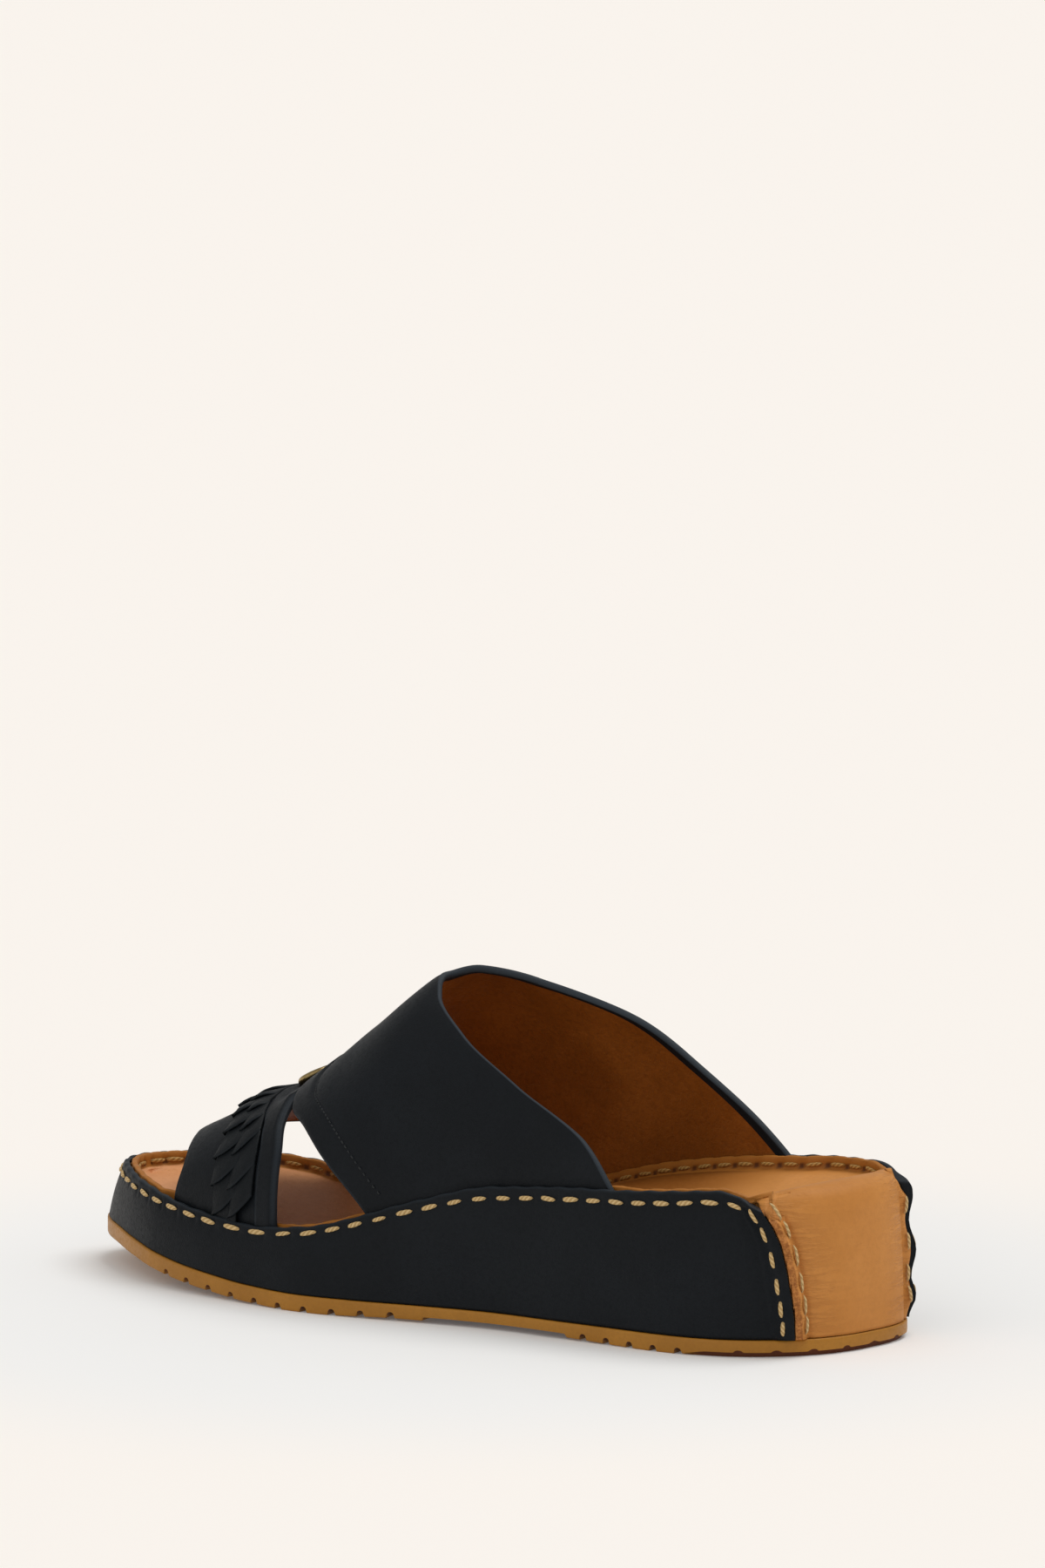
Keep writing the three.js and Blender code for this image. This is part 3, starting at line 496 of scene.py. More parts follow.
def make_fibres():
    """Fibres of a cut edge: a coarse noise and a fine one, the sharper where they meet."""
    tree, start, end = new_group("cut_fibres", {"Scale": 900.0}, ("Height", "Dark"))
    where = tree.nodes.new("ShaderNodeTexCoord").outputs["Object"]
    coarse = noise(tree, where, start.outputs["Scale"], 5.0, 0.75)
    fine = noise(tree, where, maths(tree, "MULTIPLY", start.outputs["Scale"], 3.3), 2.0, 0.6)
    tree.links.new(maths(tree, "ADD", coarse, maths(tree, "MULTIPLY", fine, 0.5)), end.inputs["Height"])
    tree.links.new(span(tree, coarse, 0.62, 0.4), end.inputs["Dark"])
    return tree


def make_folds():
    """Fine creases of a bent hide: noise drawn out along one direction, kept only where it is deep."""
    stretches = {"Along X": 60.0, "Along Y": 60.0, "Along Z": 260.0}
    tree, start, end = new_group("fine_folds", stretches, ("Height",))
    where = tree.nodes.new("ShaderNodeTexCoord").outputs["Object"]
    stretch = tree.nodes.new("ShaderNodeCombineXYZ")
    for k, label in enumerate(stretches):
        tree.links.new(start.outputs[label], stretch.inputs[k])
    drawn = tree.nodes.new("ShaderNodeVectorMath")
    drawn.operation = "MULTIPLY"
    tree.links.new(where, drawn.inputs[0])
    tree.links.new(stretch.outputs[0], drawn.inputs[1])
    wave = noise(tree, drawn.outputs[0], 1.0, 4.0, 0.6)
    ridge = maths(tree, "ABSOLUTE", maths(tree, "SUBTRACT", wave, 0.5))
    tree.links.new(span(tree, ridge, 0.0, 0.09), end.inputs["Height"])
    return tree


grain, cloud, fibres, folds = make_grain(), make_cloud(), make_fibres(), make_folds()
print("shared effects", [tree.name for tree in (grain, cloud, fibres, folds)])


# %% Building a material
def start_material(name, roughness, specular=0.5, metallic=0.0):
    """A material with one Principled shader, whose constant values sit on its own sockets."""
    material = bpy.data.materials.new(name)
    material.use_nodes = True
    shader = material.node_tree.nodes["Principled BSDF"]
    shader.inputs["Roughness"].default_value = roughness
    shader.inputs["Specular IOR Level"].default_value = specular
    shader.inputs["Metallic"].default_value = metallic
    return material, material.node_tree, shader


def place_group(tree, group, **values):
    """Puts a shared effect into a material with its own values."""
    node = tree.nodes.new("ShaderNodeGroup")
    node.node_tree = group
    for label, value in values.items():
        feed(tree, node.inputs[label.replace("_", " ")], value)
    return node


def blend_colours(tree, factor, first, second):
    """The first colour where the factor is 0, the second where it is 1."""
    node = tree.nodes.new("ShaderNodeMix")
    node.data_type = "RGBA"
    feed(tree, node.inputs["Factor"], factor)
    for socket, colour in ((node.inputs["A"], first), (node.inputs["B"], second)):
        feed(tree, socket, colour if isinstance(colour, bpy.types.NodeSocket) else (*colour, 1))
    return node.outputs["Result"]


def relief(tree, shader, height, strength, distance, under=None):
    """Bumps the shader's normal by a height; a second relief may lie under the first."""
    node = tree.nodes.new("ShaderNodeBump")
    node.inputs["Strength"].default_value = strength
    node.inputs["Distance"].default_value = distance
    tree.links.new(height, node.inputs["Height"])
    if under is not None:
        tree.links.new(under, node.inputs["Normal"])
    tree.links.new(node.outputs["Normal"], shader.inputs["Normal"])
    return node.outputs["Normal"]


def painted(tree, name):
    """The number a point that a piece keeps under this name."""
    node = tree.nodes.new("ShaderNodeAttribute")
    node.attribute_name = name
    return node.outputs["Fac"]


# %% Leathers
def leather(name, dark, light, worn_and_lit, roughness):
    """Grained hide: two tones mixed by its cloudiness, and a lighter tone where it is worn and where a painted
    highlight lies on its rounded edges.
    """
    material, tree, shader = start_material(name, roughness, 0.12)
    clouds = place_group(tree, cloud, Scale=26.0)
    colour = blend_colours(tree, clouds.outputs["Cloud"], dark, light)
    tone = tuple(0.72 * c for c in dark)
    speck = maths(tree, "MULTIPLY", clouds.outputs["Speckle"], 0.35)
    colour = blend_colours(tree, speck, colour, tone)
    # The lighter tone is partly wear and partly a painted highlight on rounded edges.
    colour = blend_colours(tree, painted(tree, "wear_and_highlight"), colour, worn_and_lit)
    tree.links.new(colour, shader.inputs["Base Color"])
    rough = maths(tree, "MULTIPLY_ADD", clouds.outputs["Speckle"], 0.1, roughness - 0.05)
    tree.links.new(rough, shader.inputs["Roughness"])
    pebbles = place_group(tree, grain, Scale=1300.0)
    relief(tree, shader, pebbles.outputs["Height"], 0.5, 0.00006)
    return material


# The third colour of each leather is the lighter tone of wear and painted highlight.
black_leather = leather("black_leather", (0.0053, 0.0068, 0.0087), (0.0073, 0.0093, 0.0118),
                        (0.03, 0.038, 0.047), 0.5)
scale_leather = leather("scale_leather", (0.0053, 0.0068, 0.0082), (0.0075, 0.0094, 0.0112),
                        (0.022, 0.028, 0.034), 0.52)


# %% Tan hide and lining
def tan_hide():
    """Smooth tan hide: pinker and grainier under the straps, and painted lighter there, with fine creases where it
    was folded.
    """
    material, tree, shader = start_material("tan_leather", 0.55, 0.2)
    clouds = place_group(tree, cloud, Scale=18.0)
    plain = blend_colours(tree, clouds.outputs["Cloud"], (0.53, 0.213, 0.044), (0.61, 0.258, 0.062))
    pink_and_painted_light = blend_colours(tree, clouds.outputs["Cloud"], (0.64, 0.285, 0.12), (0.73, 0.34, 0.15))
    # Under the straps the bed is painted pinker and lighter: partly its own tone, partly painted light where the
    # straps shade it.
    colour = blend_colours(tree, painted(tree, "under_straps"), plain, pink_and_painted_light)
    # The seat under the instep band is darkened: painted shade.
    colour = blend_colours(tree, painted(tree, "shade_under_band"), colour, (0.2, 0.06, 0.004))
    creases = place_group(tree, folds, Along_X=45.0, Along_Y=45.0, Along_Z=340.0)
    flat = maths(tree, "SUBTRACT", 1.0, painted(tree, "creased"))
    crease_height = maths(tree, "MAXIMUM", creases.outputs["Height"], flat)
    valley = maths(tree, "SUBTRACT", 1.0, crease_height)
    # The crease valleys are darkened: painted shade.
    colour = blend_colours(tree, maths(tree, "MULTIPLY", valley, 0.24), colour, (0.3, 0.105, 0.02))
    speck = maths(tree, "MULTIPLY", clouds.outputs["Speckle"], 0.22)
    colour = blend_colours(tree, speck, colour, (0.4, 0.155, 0.035))
    colour = blend_colours(tree, painted(tree, "lip"), colour, (0.38, 0.14, 0.02))
    cut = place_group(tree, fibres, Scale=700.0)
    # Dark spots at the lip's stitch holes: painted shade in the holes.
    colour = blend_colours(tree, painted(tree, "stitch_hole_shade"), colour, (0.1, 0.03, 0.006))
    raw = blend_colours(tree, cut.outputs["Dark"], (0.55, 0.22, 0.055), (0.3, 0.1, 0.02))
    colour = blend_colours(tree, painted(tree, "cut"), colour, raw)
    tree.links.new(colour, shader.inputs["Base Color"])
    pebbles = place_group(tree, grain, Scale=850.0, Fine=0.4)
    depth = maths(tree, "MULTIPLY_ADD", painted(tree, "under_straps"), 0.8, 0.2)
    first = relief(tree, shader, maths(tree, "MULTIPLY", pebbles.outputs["Height"], depth), 0.45, 0.00012)
    relief(tree, shader, crease_height, 0.5, 0.0004, first)
    return material


def lining_hide():
    """Lining: deep brown, rubbed and softly wrinkled."""
    material, tree, shader = start_material("lining_leather", 0.6, 0.15)
    clouds = place_group(tree, cloud, Scale=24.0)
    colour = blend_colours(tree, clouds.outputs["Cloud"], (0.22, 0.062, 0.005), (0.31, 0.095, 0.011))
    speck = maths(tree, "MULTIPLY", clouds.outputs["Speckle"], 0.3)
    tree.links.new(blend_colours(tree, speck, colour, (0.1, 0.03, 0.005)), shader.inputs["Base Color"])
    wrinkles = place_group(tree, folds, Along_X=130.0, Along_Y=90.0, Along_Z=150.0)
    first = relief(tree, shader, wrinkles.outputs["Height"], 0.3, 0.0003)
    pebbles = place_group(tree, grain, Scale=1000.0)
    relief(tree, shader, pebbles.outputs["Height"], 0.35, 0.0001, first)
    return material


tan_leather, lining_leather = tan_hide(), lining_hide()


# %% Rubber, thread, metal and core
def gum():
    """Gum rubber: amber, slightly cloudy, with the fine texture of its mould."""
    material, tree, shader = start_material("gum_rubber", 0.42, 0.3)
    clouds = place_group(tree, cloud, Scale=30.0)
    amber = blend_colours(tree, clouds.outputs["Cloud"], (0.37, 0.155, 0.013), (0.44, 0.19, 0.019))
    dusty = maths(tree, "MULTIPLY", clouds.outputs["Speckle"], 0.25)
    colour = blend_colours(tree, dusty, amber, (0.27, 0.115, 0.018))
    # Grooves, the waist and the set-back band round the heel are painted dark red-brown: painted shade.
    colour = blend_colours(tree, painted(tree, "recess_shade"), colour, (0.16, 0.05, 0.022))
    tree.links.new(colour, shader.inputs["Base Color"])
    rough = maths(tree, "MULTIPLY_ADD", clouds.outputs["Speckle"], 0.18, 0.38)
    tree.links.new(rough, shader.inputs["Roughness"])
    mould = place_group(tree, fibres, Scale=1500.0)
    relief(tree, shader, mould.outputs["Height"], 0.25, 0.0001)
    return material


def waxed_thread(name, dark, light):
    """Twisted thread: slanted stripes on the stitch's own map, lighter on each strand's crest and darker between
    them: painted light and shade.
    """
    material, tree, shader = start_material(name, 0.55, 0.4)
    grid_map = tree.nodes.new("ShaderNodeUVMap")
    grid_map.uv_map = "grid"
    split = tree.nodes.new("ShaderNodeSeparateXYZ")
    tree.links.new(grid_map.outputs["UV"], split.inputs[0])
    around = maths(tree, "MULTIPLY", split.outputs["Y"], 12.6)
    slant = maths(tree, "MULTIPLY_ADD", split.outputs["X"], 22.0, around)
    strand = maths(tree, "MULTIPLY_ADD", maths(tree, "SINE", slant), 0.5, 0.5)
    clouds = place_group(tree, cloud, Scale=60.0)
    # The colour stripes follow the strands' relief: painted light and shade.
    colour = blend_colours(tree, maths(tree, "MULTIPLY", strand, 0.8), dark, light)
    colour = blend_colours(tree, maths(tree, "MULTIPLY", clouds.outputs["Speckle"], 0.3), colour, dark)
    tree.links.new(colour, shader.inputs["Base Color"])
    relief(tree, shader, strand, 0.6, 0.00025)
    return material


def polished_brass():
    """Brass: slightly uneven polish, dulled in spots."""
    material, tree, shader = start_material("brass", 0.26, 0.5, 1.0)
    clouds = place_group(tree, cloud, Scale=160.0)
    colour = blend_colours(tree, clouds.outputs["Cloud"], (0.2, 0.14, 0.06), (0.42, 0.31, 0.14))
    tree.links.new(colour, shader.inputs["Base Color"])
    rough = maths(tree, "MULTIPLY_ADD", clouds.outputs["Speckle"], 0.2, 0.28)
    tree.links.new(rough, shader.inputs["Roughness"])
    scratches = place_group(tree, fibres, Scale=2200.0)
    relief(tree, shader, scratches.outputs["Height"], 0.15, 0.00005)
    return material


def core_board():
    """Cork and rubber core, hidden by the leathers."""
    material, tree, shader = start_material("core_board", 0.9, 0.2)
    grit = place_group(tree, fibres, Scale=500.0)
    colour = blend_colours(tree, grit.outputs["Dark"], (0.2, 0.1, 0.04), (0.06, 0.028, 0.012))
    tree.links.new(colour, shader.inputs["Base Color"])
    relief(tree, shader, grit.outputs["Height"], 0.5, 0.0004)
    return material


gum_rubber, brass, core = gum(), polished_brass(), core_board()
cream_thread = waxed_thread("cream_thread", (0.42, 0.26, 0.09), (0.76, 0.55, 0.27))
black_thread = waxed_thread("black_thread", (0.004, 0.005, 0.006), (0.02, 0.024, 0.028))
tan_thread = waxed_thread("tan_thread", (0.3, 0.15, 0.03), (0.62, 0.38, 0.12))
print("materials", len(bpy.data.materials))

# %% [markdown]
# ## The rubber outsole
#
# The outsole is a flat sheet of gum rubber, bent up at the toe. Half-round grooves run across its tread
# at forefoot and heel, the waist is recessed, and the edge round the back of the heel is scalloped. It is
# a stack of cross-sections along the shoe: each one runs over the top, down the side and back below.

# %% Outsole
fore_grooves = np.linspace(0.182, 0.495, 10)
heel_grooves = np.linspace(0.734, 0.855, 5)
arch_span = (0.532, 0.712)
heel_notches = np.linspace(0.43, 0.57, 9)


def groove_rise(x):
    """Half an ellipse over each groove, and a soft-edged step over the waist."""
    rise = np.zeros_like(x)
    for along in np.concatenate([fore_grooves, heel_grooves]):
        off = np.abs(x - overall_length * (along - 0.5)) / (groove_width / 2)
        rise = np.maximum(rise, groove_depth * np.clip(1 - off ** 2.6, 0, None) ** (1 / 2.6))
    first, last = (overall_length * (end - 0.5) for end in arch_span)
    waist = smooth(first - 0.3, first + 0.3, x) * (1 - smooth(last - 0.3, last + 0.3, x))
    return np.maximum(rise, arch_recess * waist)


def notch_rise(share):
    """Small half-round notches in the lower edge round the back of the heel."""
    rise = np.zeros_like(share)
    for centre in heel_notches:
        off = (np.mod(share, 1) - centre) * rim_length / 1.5
        rise = np.maximum(rise, 0.7 * np.sqrt(np.clip(1 - off * off, 0, None)))
    return rise


def outsole():
    """Rows along the shoe, the closer where there are grooves; each is a loop round the section."""
    dense = np.concatenate([np.arange(0.172, 0.505, 0.0011), np.arange(0.724, 0.866, 0.0011)])
    eased = (1 - np.cos(np.linspace(0, np.pi, 420))) / 2
    along = np.unique(np.round(np.concatenate([eased, dense, [0.531, 0.533, 0.711, 0.713]]), 5))
    share = np.interp(along, rim_line["along"][:3001], rim_line["share"][:3001])
    back = np.interp(along, rim_line["along"][:2999:-1], rim_line["share"][:2999:-1])
    top, bottom = wall_foot(along), tread_height(along)
    heel = smooth(0.86, 0.9, along)
    sides = []
    for turn in (share, back):
        edge = rim(turn)
        rise = groove_rise(edge["x"])
        lip = (1 - heel) * rise + heel * np.maximum(rise, 1.6 + notch_rise(turn))
        side = []
        for k, (out, z) in enumerate((
                (0.6, top), (-0.15, top), (-0.45, top - 0.25), (-0.5, top - 0.7),
                (-0.5, 0.5 * (top + bottom)), (-0.5, bottom + 1.2), (-0.5, bottom + 0.5),
                (-0.38, bottom + 0.15), (-0.1, bottom), (0.5, bottom), (0.7, bottom))):
            floor_now = bottom + (lip if k < 10 else rise) - 0.004 * k
            side.append(inset(edge, out + (0.5 * heel if k > 8 else 0), np.maximum(z, floor_now)))
        for out in (1.6, 4.0):
            side.append(inset(edge, out, bottom + rise))
        sides.append(side)
    across = np.linspace(0, 1, 16)[1:-1]
    under = [sides[0][-1] * (1 - t) + sides[1][-1] * t for t in across]
    for points in under:
        points[:, 2] = bottom + groove_rise(points[:, 0])
    over = [sides[1][0] * (1 - t) + sides[0][0] * t for t in np.linspace(0, 1, 6)[1:-1]]
    grid = np.stack([*sides[0], *under, *sides[1][::-1], *over], axis=1)
    piece = grid_mesh("outsole_rubber", grid, closed=True)
    sunk = grid[..., 2] - bottom[:, None]
    column = np.arange(grid.shape[1])
    is_under = ((column > 7) & (column < grid.shape[1] - 12)).astype(float)
    # Faces sunk into grooves and the waist, and the set-back band round the heel, are marked for painted shade.
    recess_shade = smooth(0.3, 1.3, sunk) * is_under * (sunk < 2.6)
    band = np.zeros_like(recess_shade)
    band[:, [10, 11, 12, 27, 28, 29]] = heel[:, None]
    paint(piece, "recess_shade", np.maximum(recess_shade, band))
    face_outwards(piece)
    return piece


dress(outsole(), "outsole_rubber", gum_rubber, replaces=("outsole",))

# %% [markdown]
# ## The leather wall
#
# One strip of black leather goes round the sole from heel corner to heel corner. Its top stands up above
# the footbed as a ridge, and its two ends turn outwards, where they are sewn to the hide of the heel. It
# is a tube of rows round the rim: up the outer face, over the rounded top and down the inner face.

# %% Seams and stitches of the wall
row_depths = np.array([
    (0, 2.9), (0.045, 2.9), (0.066, 3.2), (0.083, 3.0), (0.1, 2.6), (0.12, 2.3), (0.15, 2.0), (0.167, 2.0),
    (0.2, 2.4), (0.3, 3.9), (0.5, 3.9)])
outer_stitches = np.concatenate([
    np.linspace(-0.4274, -0.0133, 33), np.linspace(0.0, 0.095, 8), np.linspace(0.1078, 0.1352, 3),
    [0.1513, 0.1676, 0.1847, 0.1999, 0.2133], np.linspace(0.2251, 0.428, 17)])
near_seam["stitches"] = near_seam["tucks"] = np.array([0.08, 0.212, 0.362, 0.541, 0.709, 0.831])
far_seam["stitches"] = np.array([0.15, 0.29, 0.5, 0.74])
far_seam["tucks"] = np.array([0.0, 0.27, 0.64, 1.0])
near_seam["wave"], far_seam["wave"] = 0.35, 0.9


def seam_share(seam, height):
    """Share of the rim at which a seam stands at this part of the full height."""
    return np.interp(height, seam["line"][:, 0], seam["line"][:, 1])


def nearest_gap(places, share):
    """Distance in mm from each share to the nearest of some places along the rim."""
    after = np.clip(np.searchsorted(places, share), 1, len(places) - 1)
    return np.minimum(abs(share - places[after - 1]), abs(share - places[after])) * rim_length


def row_depth(share):
    """How far the outer row lies below the top of the ridge, from a table along the rim."""
    from_toe = np.minimum(np.mod(share, 1), 1 - np.mod(share, 1))
    return np.interp(from_toe, row_depths[:, 0], row_depths[:, 1])


def seam_proud(seam, height):
    """How far a heel corner stands out: less at its top and foot."""
    return seam["proud"] * (1 - 0.6 * smooth(0.85, 1, height)) * (1 - 0.3 * (1 - smooth(0, 0.25, height)))


def ridge_line(share, place):
    """Top of the ridge, slightly lower at each stitch where the thread pulls it in."""
    pulled = 0.28 * (1 - smooth(0.5, 4.2, nearest_gap(outer_stitches, share)))
    slow = 0.16 * np.sin(37 * share) * np.sin(91 * share + 1)
    return ridge_top(place["y"], place["along"]) - corner_drop(share) - 0.2 - pulled - slow


def stitch_pull(share):
    """1 at both ends of the stitches of the outer row and less elsewhere: a bell for each hole."""
    return np.exp(-((nearest_gap(outer_stitches, share) - 3.0) / 0.9) ** 2)


def corner_wave(seam, height):
    """A heel corner's edge swings in at each tuck and out between them, by a cosine."""
    turn = np.interp(height, seam["tucks"], np.arange(len(seam["tucks"])))
    return -seam["wave"] * np.cos(2 * np.pi * turn)


# %% Wall
def wall():
    """Rows by share of the rim, ends along the seams; columns by height, then by distance below the top."""
    rows = 1150
    below = np.array([6.6, 5.6, 4.9, 4.3, 3.7, 3.1, 2.4, 1.7, 1.0, 0.45, 0.12, 0.0])
    rounding = np.array([0, 0, 0, 0, 0, 0, 0, 0, 0, 0.04, 0.22, 0.6])
    lower = np.concatenate([[0, 0.03, 0.08], np.linspace(0.15, 1, 14)])
    step = np.linspace(0, 1, rows)
    start = far_seam["top"] - 1
    spread = 1 + 3.2 * np.exp(-((1 - step) / 0.02) ** 2) + 3.2 * np.exp(-(step / 0.02) ** 2)
    step = np.cumsum(1 / spread) - 1 / spread[0]
    step /= step[-1]
    middle = start + (near_seam["top"] - start) * step
    outer, inner = [], []
    for k in range(len(lower) + len(below)):
        share = middle
        for _ in range(3):
            place = rim(share)
            low, top = wall_foot(place["along"]) + clearance, ridge_line(middle, place)
            z = low + (top - 7.6 - low) * lower[k] if k < len(lower) else top - below[k - len(lower)]
            height = (z - low) / (ridge_top(place["y"], place["along"]) - low)
            begin, end = seam_share(far_seam, height) - 1, seam_share(near_seam, height)
            share = begin + (end - begin) * step
        from_end = np.minimum(end - share, share - begin) * rim_length
        near = step > 0.5
        proud = np.where(near, seam_proud(near_seam, height), seam_proud(far_seam, height))
        wave = np.where(near, corner_wave(near_seam, height), corner_wave(far_seam, height))
        flare = (proud + wave) * (1 - smooth(wrap_thickness, 7.0, from_end))
        turned = rounding[k - len(lower)] if k >= len(lower) else 0
        face = wall_inset(height, place["along"])
        row = np.exp(-((z - (top - row_depth(middle))) / 1.4) ** 2) * stitch_pull(share)
        puff = 0.22 * smooth(top - 4, top - 1.5, z) * smooth(1, 4, nearest_gap(outer_stitches, share))
        outer.append(inset(place, face - flare + turned + 0.34 * row - puff, z))
        inner.append(inset(place, face + wrap_thickness - turned, z))
    grid = np.stack([*outer, *inner[::-1]], axis=1)
    piece = grid_mesh("leather_wall", grid, closed=True, caps=True)
    count = len(outer)
    # The rounded top of the ridge is painted lighter: wear and a painted highlight.
    rubbed_and_lit = smooth(count - 4, count - 1.5, np.arange(count))
    paint(piece, "wear_and_highlight", np.concatenate([rubbed_and_lit, rubbed_and_lit[::-1]])[None, :] * np.full((rows, 1), 0.5))
    face_outwards(piece)
    return piece


dress(wall(), "wall_leather", black_leather, replaces=("side_wrap",))

# %% [markdown]
# ## The tan hide
#
# The footbed and the heel are one hide. It turns up inside the ridge as a lip, and between the two heel
# corners it rolls over the back edge and runs down to the rubber. Two profiles, that of the lip and that
# of the heel, are blended column by column across each corner, so that the hide twists from one to the
# other as leather does.


# %% Profiles of the hide
inner_stitches = np.concatenate([np.arange(-0.452, -0.005, 0.01255), np.arange(0.008, 0.436, 0.01255)])
face_heights = np.concatenate([[0, 0.02], np.linspace(0.05, 0.8, 34)])
heel_roll = ((1.9, 7.0), (2.7, 3.8), (4.2, 1.6), (6.5, 0.4), (9.5, 0.0), (13.0, 0.0), (17.0, 0.0))
roll_blend = ((-0.5, 2.5), (-3.0, 3.5), (-5.0, 4.0), (-9.0, 6.0), (-12.0, 8.0), (-14.0, 10.0),
              (-15.0, 11.0))
lip_roll = ((2.0, "top", -1.5), (2.05, "top", -2.4), (2.1, "top", -3.3), (2.6, "bed", 0.5),
            (3.6, "bed", 0.1), (5.0, "bed", 0.0), (7.0, "bed", 0.0))
corner_creases = ((0.93, 0.006, 17, 0.75, 0.017), (0.86, 0.001, 12, 0.65, 0.014),
                  (0.8, 0.003, 20, 0.75, 0.018), (0.72, -0.001, 14, 0.6, 0.014),
                  (0.66, 0.0015, 19, 0.55, 0.016), (0.58, -0.0015, 12, 0.45, 0.014), (0.5, -0.003, 15, 0.4, 0.016))


def heel_creases(height, delta, near):
    """Soft troughs that fan out from the near corner: a bell across each, fading at both ends."""
    depth = 0 * delta
    for start, slope, length, deep, broad in corner_creases:
        line = start + slope * (delta - 3) + 0.006 * np.sin(0.7 * delta + 20 * start)
        across = np.exp(-((height - line) / broad) ** 2)
        along = smooth(2.5, 5.0, delta) * (1 - smooth(0.35 * length, length, delta))
        depth = depth + deep * across * along * (1.0 if near else 0.45)
    return depth


def heel_face(seam, height, delta, near):
    """How far the heel's hide stands out of its plain face: the corner's edge, less its creases."""
    edge = seam["tan_proud"] * seam_proud(seam, height) / seam["proud"]
    edge = edge + (1.6 if near else 0.7) * corner_wave(seam, height)
    flare = edge * (1 - smooth(seam["tan_edge"], seam["tan_edge"] + 2.6, delta))
    valley = 0.5 * np.exp(-((delta - seam["tan_edge"] - 2.4) / 1.2) ** 2)
    return flare - valley - heel_creases(height, delta, near)


def hide_column(share, seam, sign, height, blend, lip, heel):
    """One column: an inset and a height of the lip's profile turning into those of the heel's."""
    middle = seam_share(seam, 0.5)
    window = 1 - smooth(0.012, 0.048, np.abs(share - middle))
    turn = share + (seam_share(seam, min(height, 1.0)) - middle) * window
    place = rim(turn)
    delta = sign * (turn - seam_share(seam, min(height, 1.0))) * rim_length
    t = smooth(*blend, delta)
    lip_out, lip_z = lip(turn, place)
    heel_out, heel_z = heel(turn, place, delta)
    return inset(place, lip_out * (1 - t) + heel_out * t, lip_z * (1 - t) + heel_z * t), delta


def lip_profile(out, datum, rise):
    """The lip: inwards of its outer face, and up or down from its top or from the bed."""
    def at(turn, place):
        along = place["along"]
        from_toe = np.minimum(np.mod(turn, 1), 1 - np.mod(turn, 1))
        narrowed = 1 - 0.65 * (1 - smooth(0.01, 0.1, from_toe))
        reach = min(out, 2) + max(out - 2, 0) * narrowed
        edge = wall_inner(along) + foot_room(turn, along)
        holes = np.exp(-((nearest_gap(inner_stitches, signed(turn)) - 3.3) / 1.0) ** 2)
        place_at = inset(place, edge + reach, 0)
        bed = bed_height(place_at[..., 0], place_at[..., 1], along, 0)
        top = ridge_top(place["y"], along) + 0.15 - corner_drop(turn) - 0.25 * holes
        top = np.maximum(top, bed + 0.4)
        z = bed + rise if datum == "bed" else np.maximum(top + rise, bed - 1.0 if out == 0 else bed + 0.3)
        pull = 0.45 * holes if datum == "top" and rise < -1 else 0
        return edge + reach - pull, z
    return at


def signed(share):
    """Shares above a half counted back from the toe, so that they run from -0.5 to 0.5."""
    s = np.mod(share, 1)
    return np.where(s > 0.5, s - 1, s)


def hide_side(share, seam, sign):
    """Columns from the outer end of the hide to the bed, and below it back to the outer end."""
    near = sign > 0
    top_points, deltas, under = [], [], []
    count = len(face_heights)
    edge_path = np.concatenate([np.linspace(-7, -0.6, count - 5), [-0.25, -0.05, 0.0, 0.0, -0.3]])
    edge_out = np.concatenate([np.zeros(count - 5), [0.06, 0.35, 0.8, 1.4, 1.85]])

    for k, height in enumerate(face_heights):
        def heel(turn, place, delta, height=height):
            low = wall_foot(place["along"]) + clearance
            out = wall_inset(height, place["along"]) - heel_face(seam, height, delta, near)
            return out, low + (ridge_top(place["y"], place["along"]) - low) * height
        point, delta = hide_column(share, seam, sign, height, (0.2, 0.4),
                                   lip_profile(edge_out[k], "top", edge_path[k]), heel)
        top_points.append(point)
        deltas.append(delta)

    for k, (out, drop) in enumerate(heel_roll):
        height = (0.93, 0.97, 1, 1, 1, 1, 1)[k]

        def heel(turn, place, delta, out=out, drop=drop, k=k):
            at = inset(place, out, 0)
            z = bed_height(at[..., 0], at[..., 1], place["along"], 0) - drop
            share_out = (0.75, 0.35, 0.1, 0, 0, 0, 0)[k]
            return out - share_out * heel_face(seam, 0.9, delta, near), z
        point, delta = hide_column(share, seam, sign, height, roll_blend[k],
                                   lip_profile(*lip_roll[k]), heel)
        top_points.append(point)
        deltas.append(delta)

    under_lip = ((0, -1.5), (0.3, -2.0), (1.5, -2.0), (3.0, -2.0), (5.0, -2.0), (7.0, -2.0))
    under_heel = ((2.0, 0.0), (2.0, 0.4), (3.9, -7.5), (6.2, -3.6), (10.0, -2.1), (17.0, -2.0))
    under_blend = ((0.2, 0.45), (0.2, 0.45), (-1, 1), (-3, 2), (-6, 4), (-10, 6))
    for k in range(6):
        height = (0.0, 0.4, 1, 1, 1, 1)[k]

        def heel(turn, place, delta, k=k, height=height):
            out, rise = under_heel[k]
            if k < 2:
                low = wall_foot(place["along"]) + clearance
                full = ridge_top(place["y"], place["along"]) - low
                return wall_inset(height, place["along"]) + out, low + full * height
            at = inset(place, out, 0)
            return out, bed_height(at[..., 0], at[..., 1], place["along"], 0) + rise
        point, _ = hide_column(share, seam, sign, height, under_blend[k],
                               lip_profile(under_lip[k][0], "bed", under_lip[k][1]), heel)
        under.append(point)
    return top_points, under, deltas


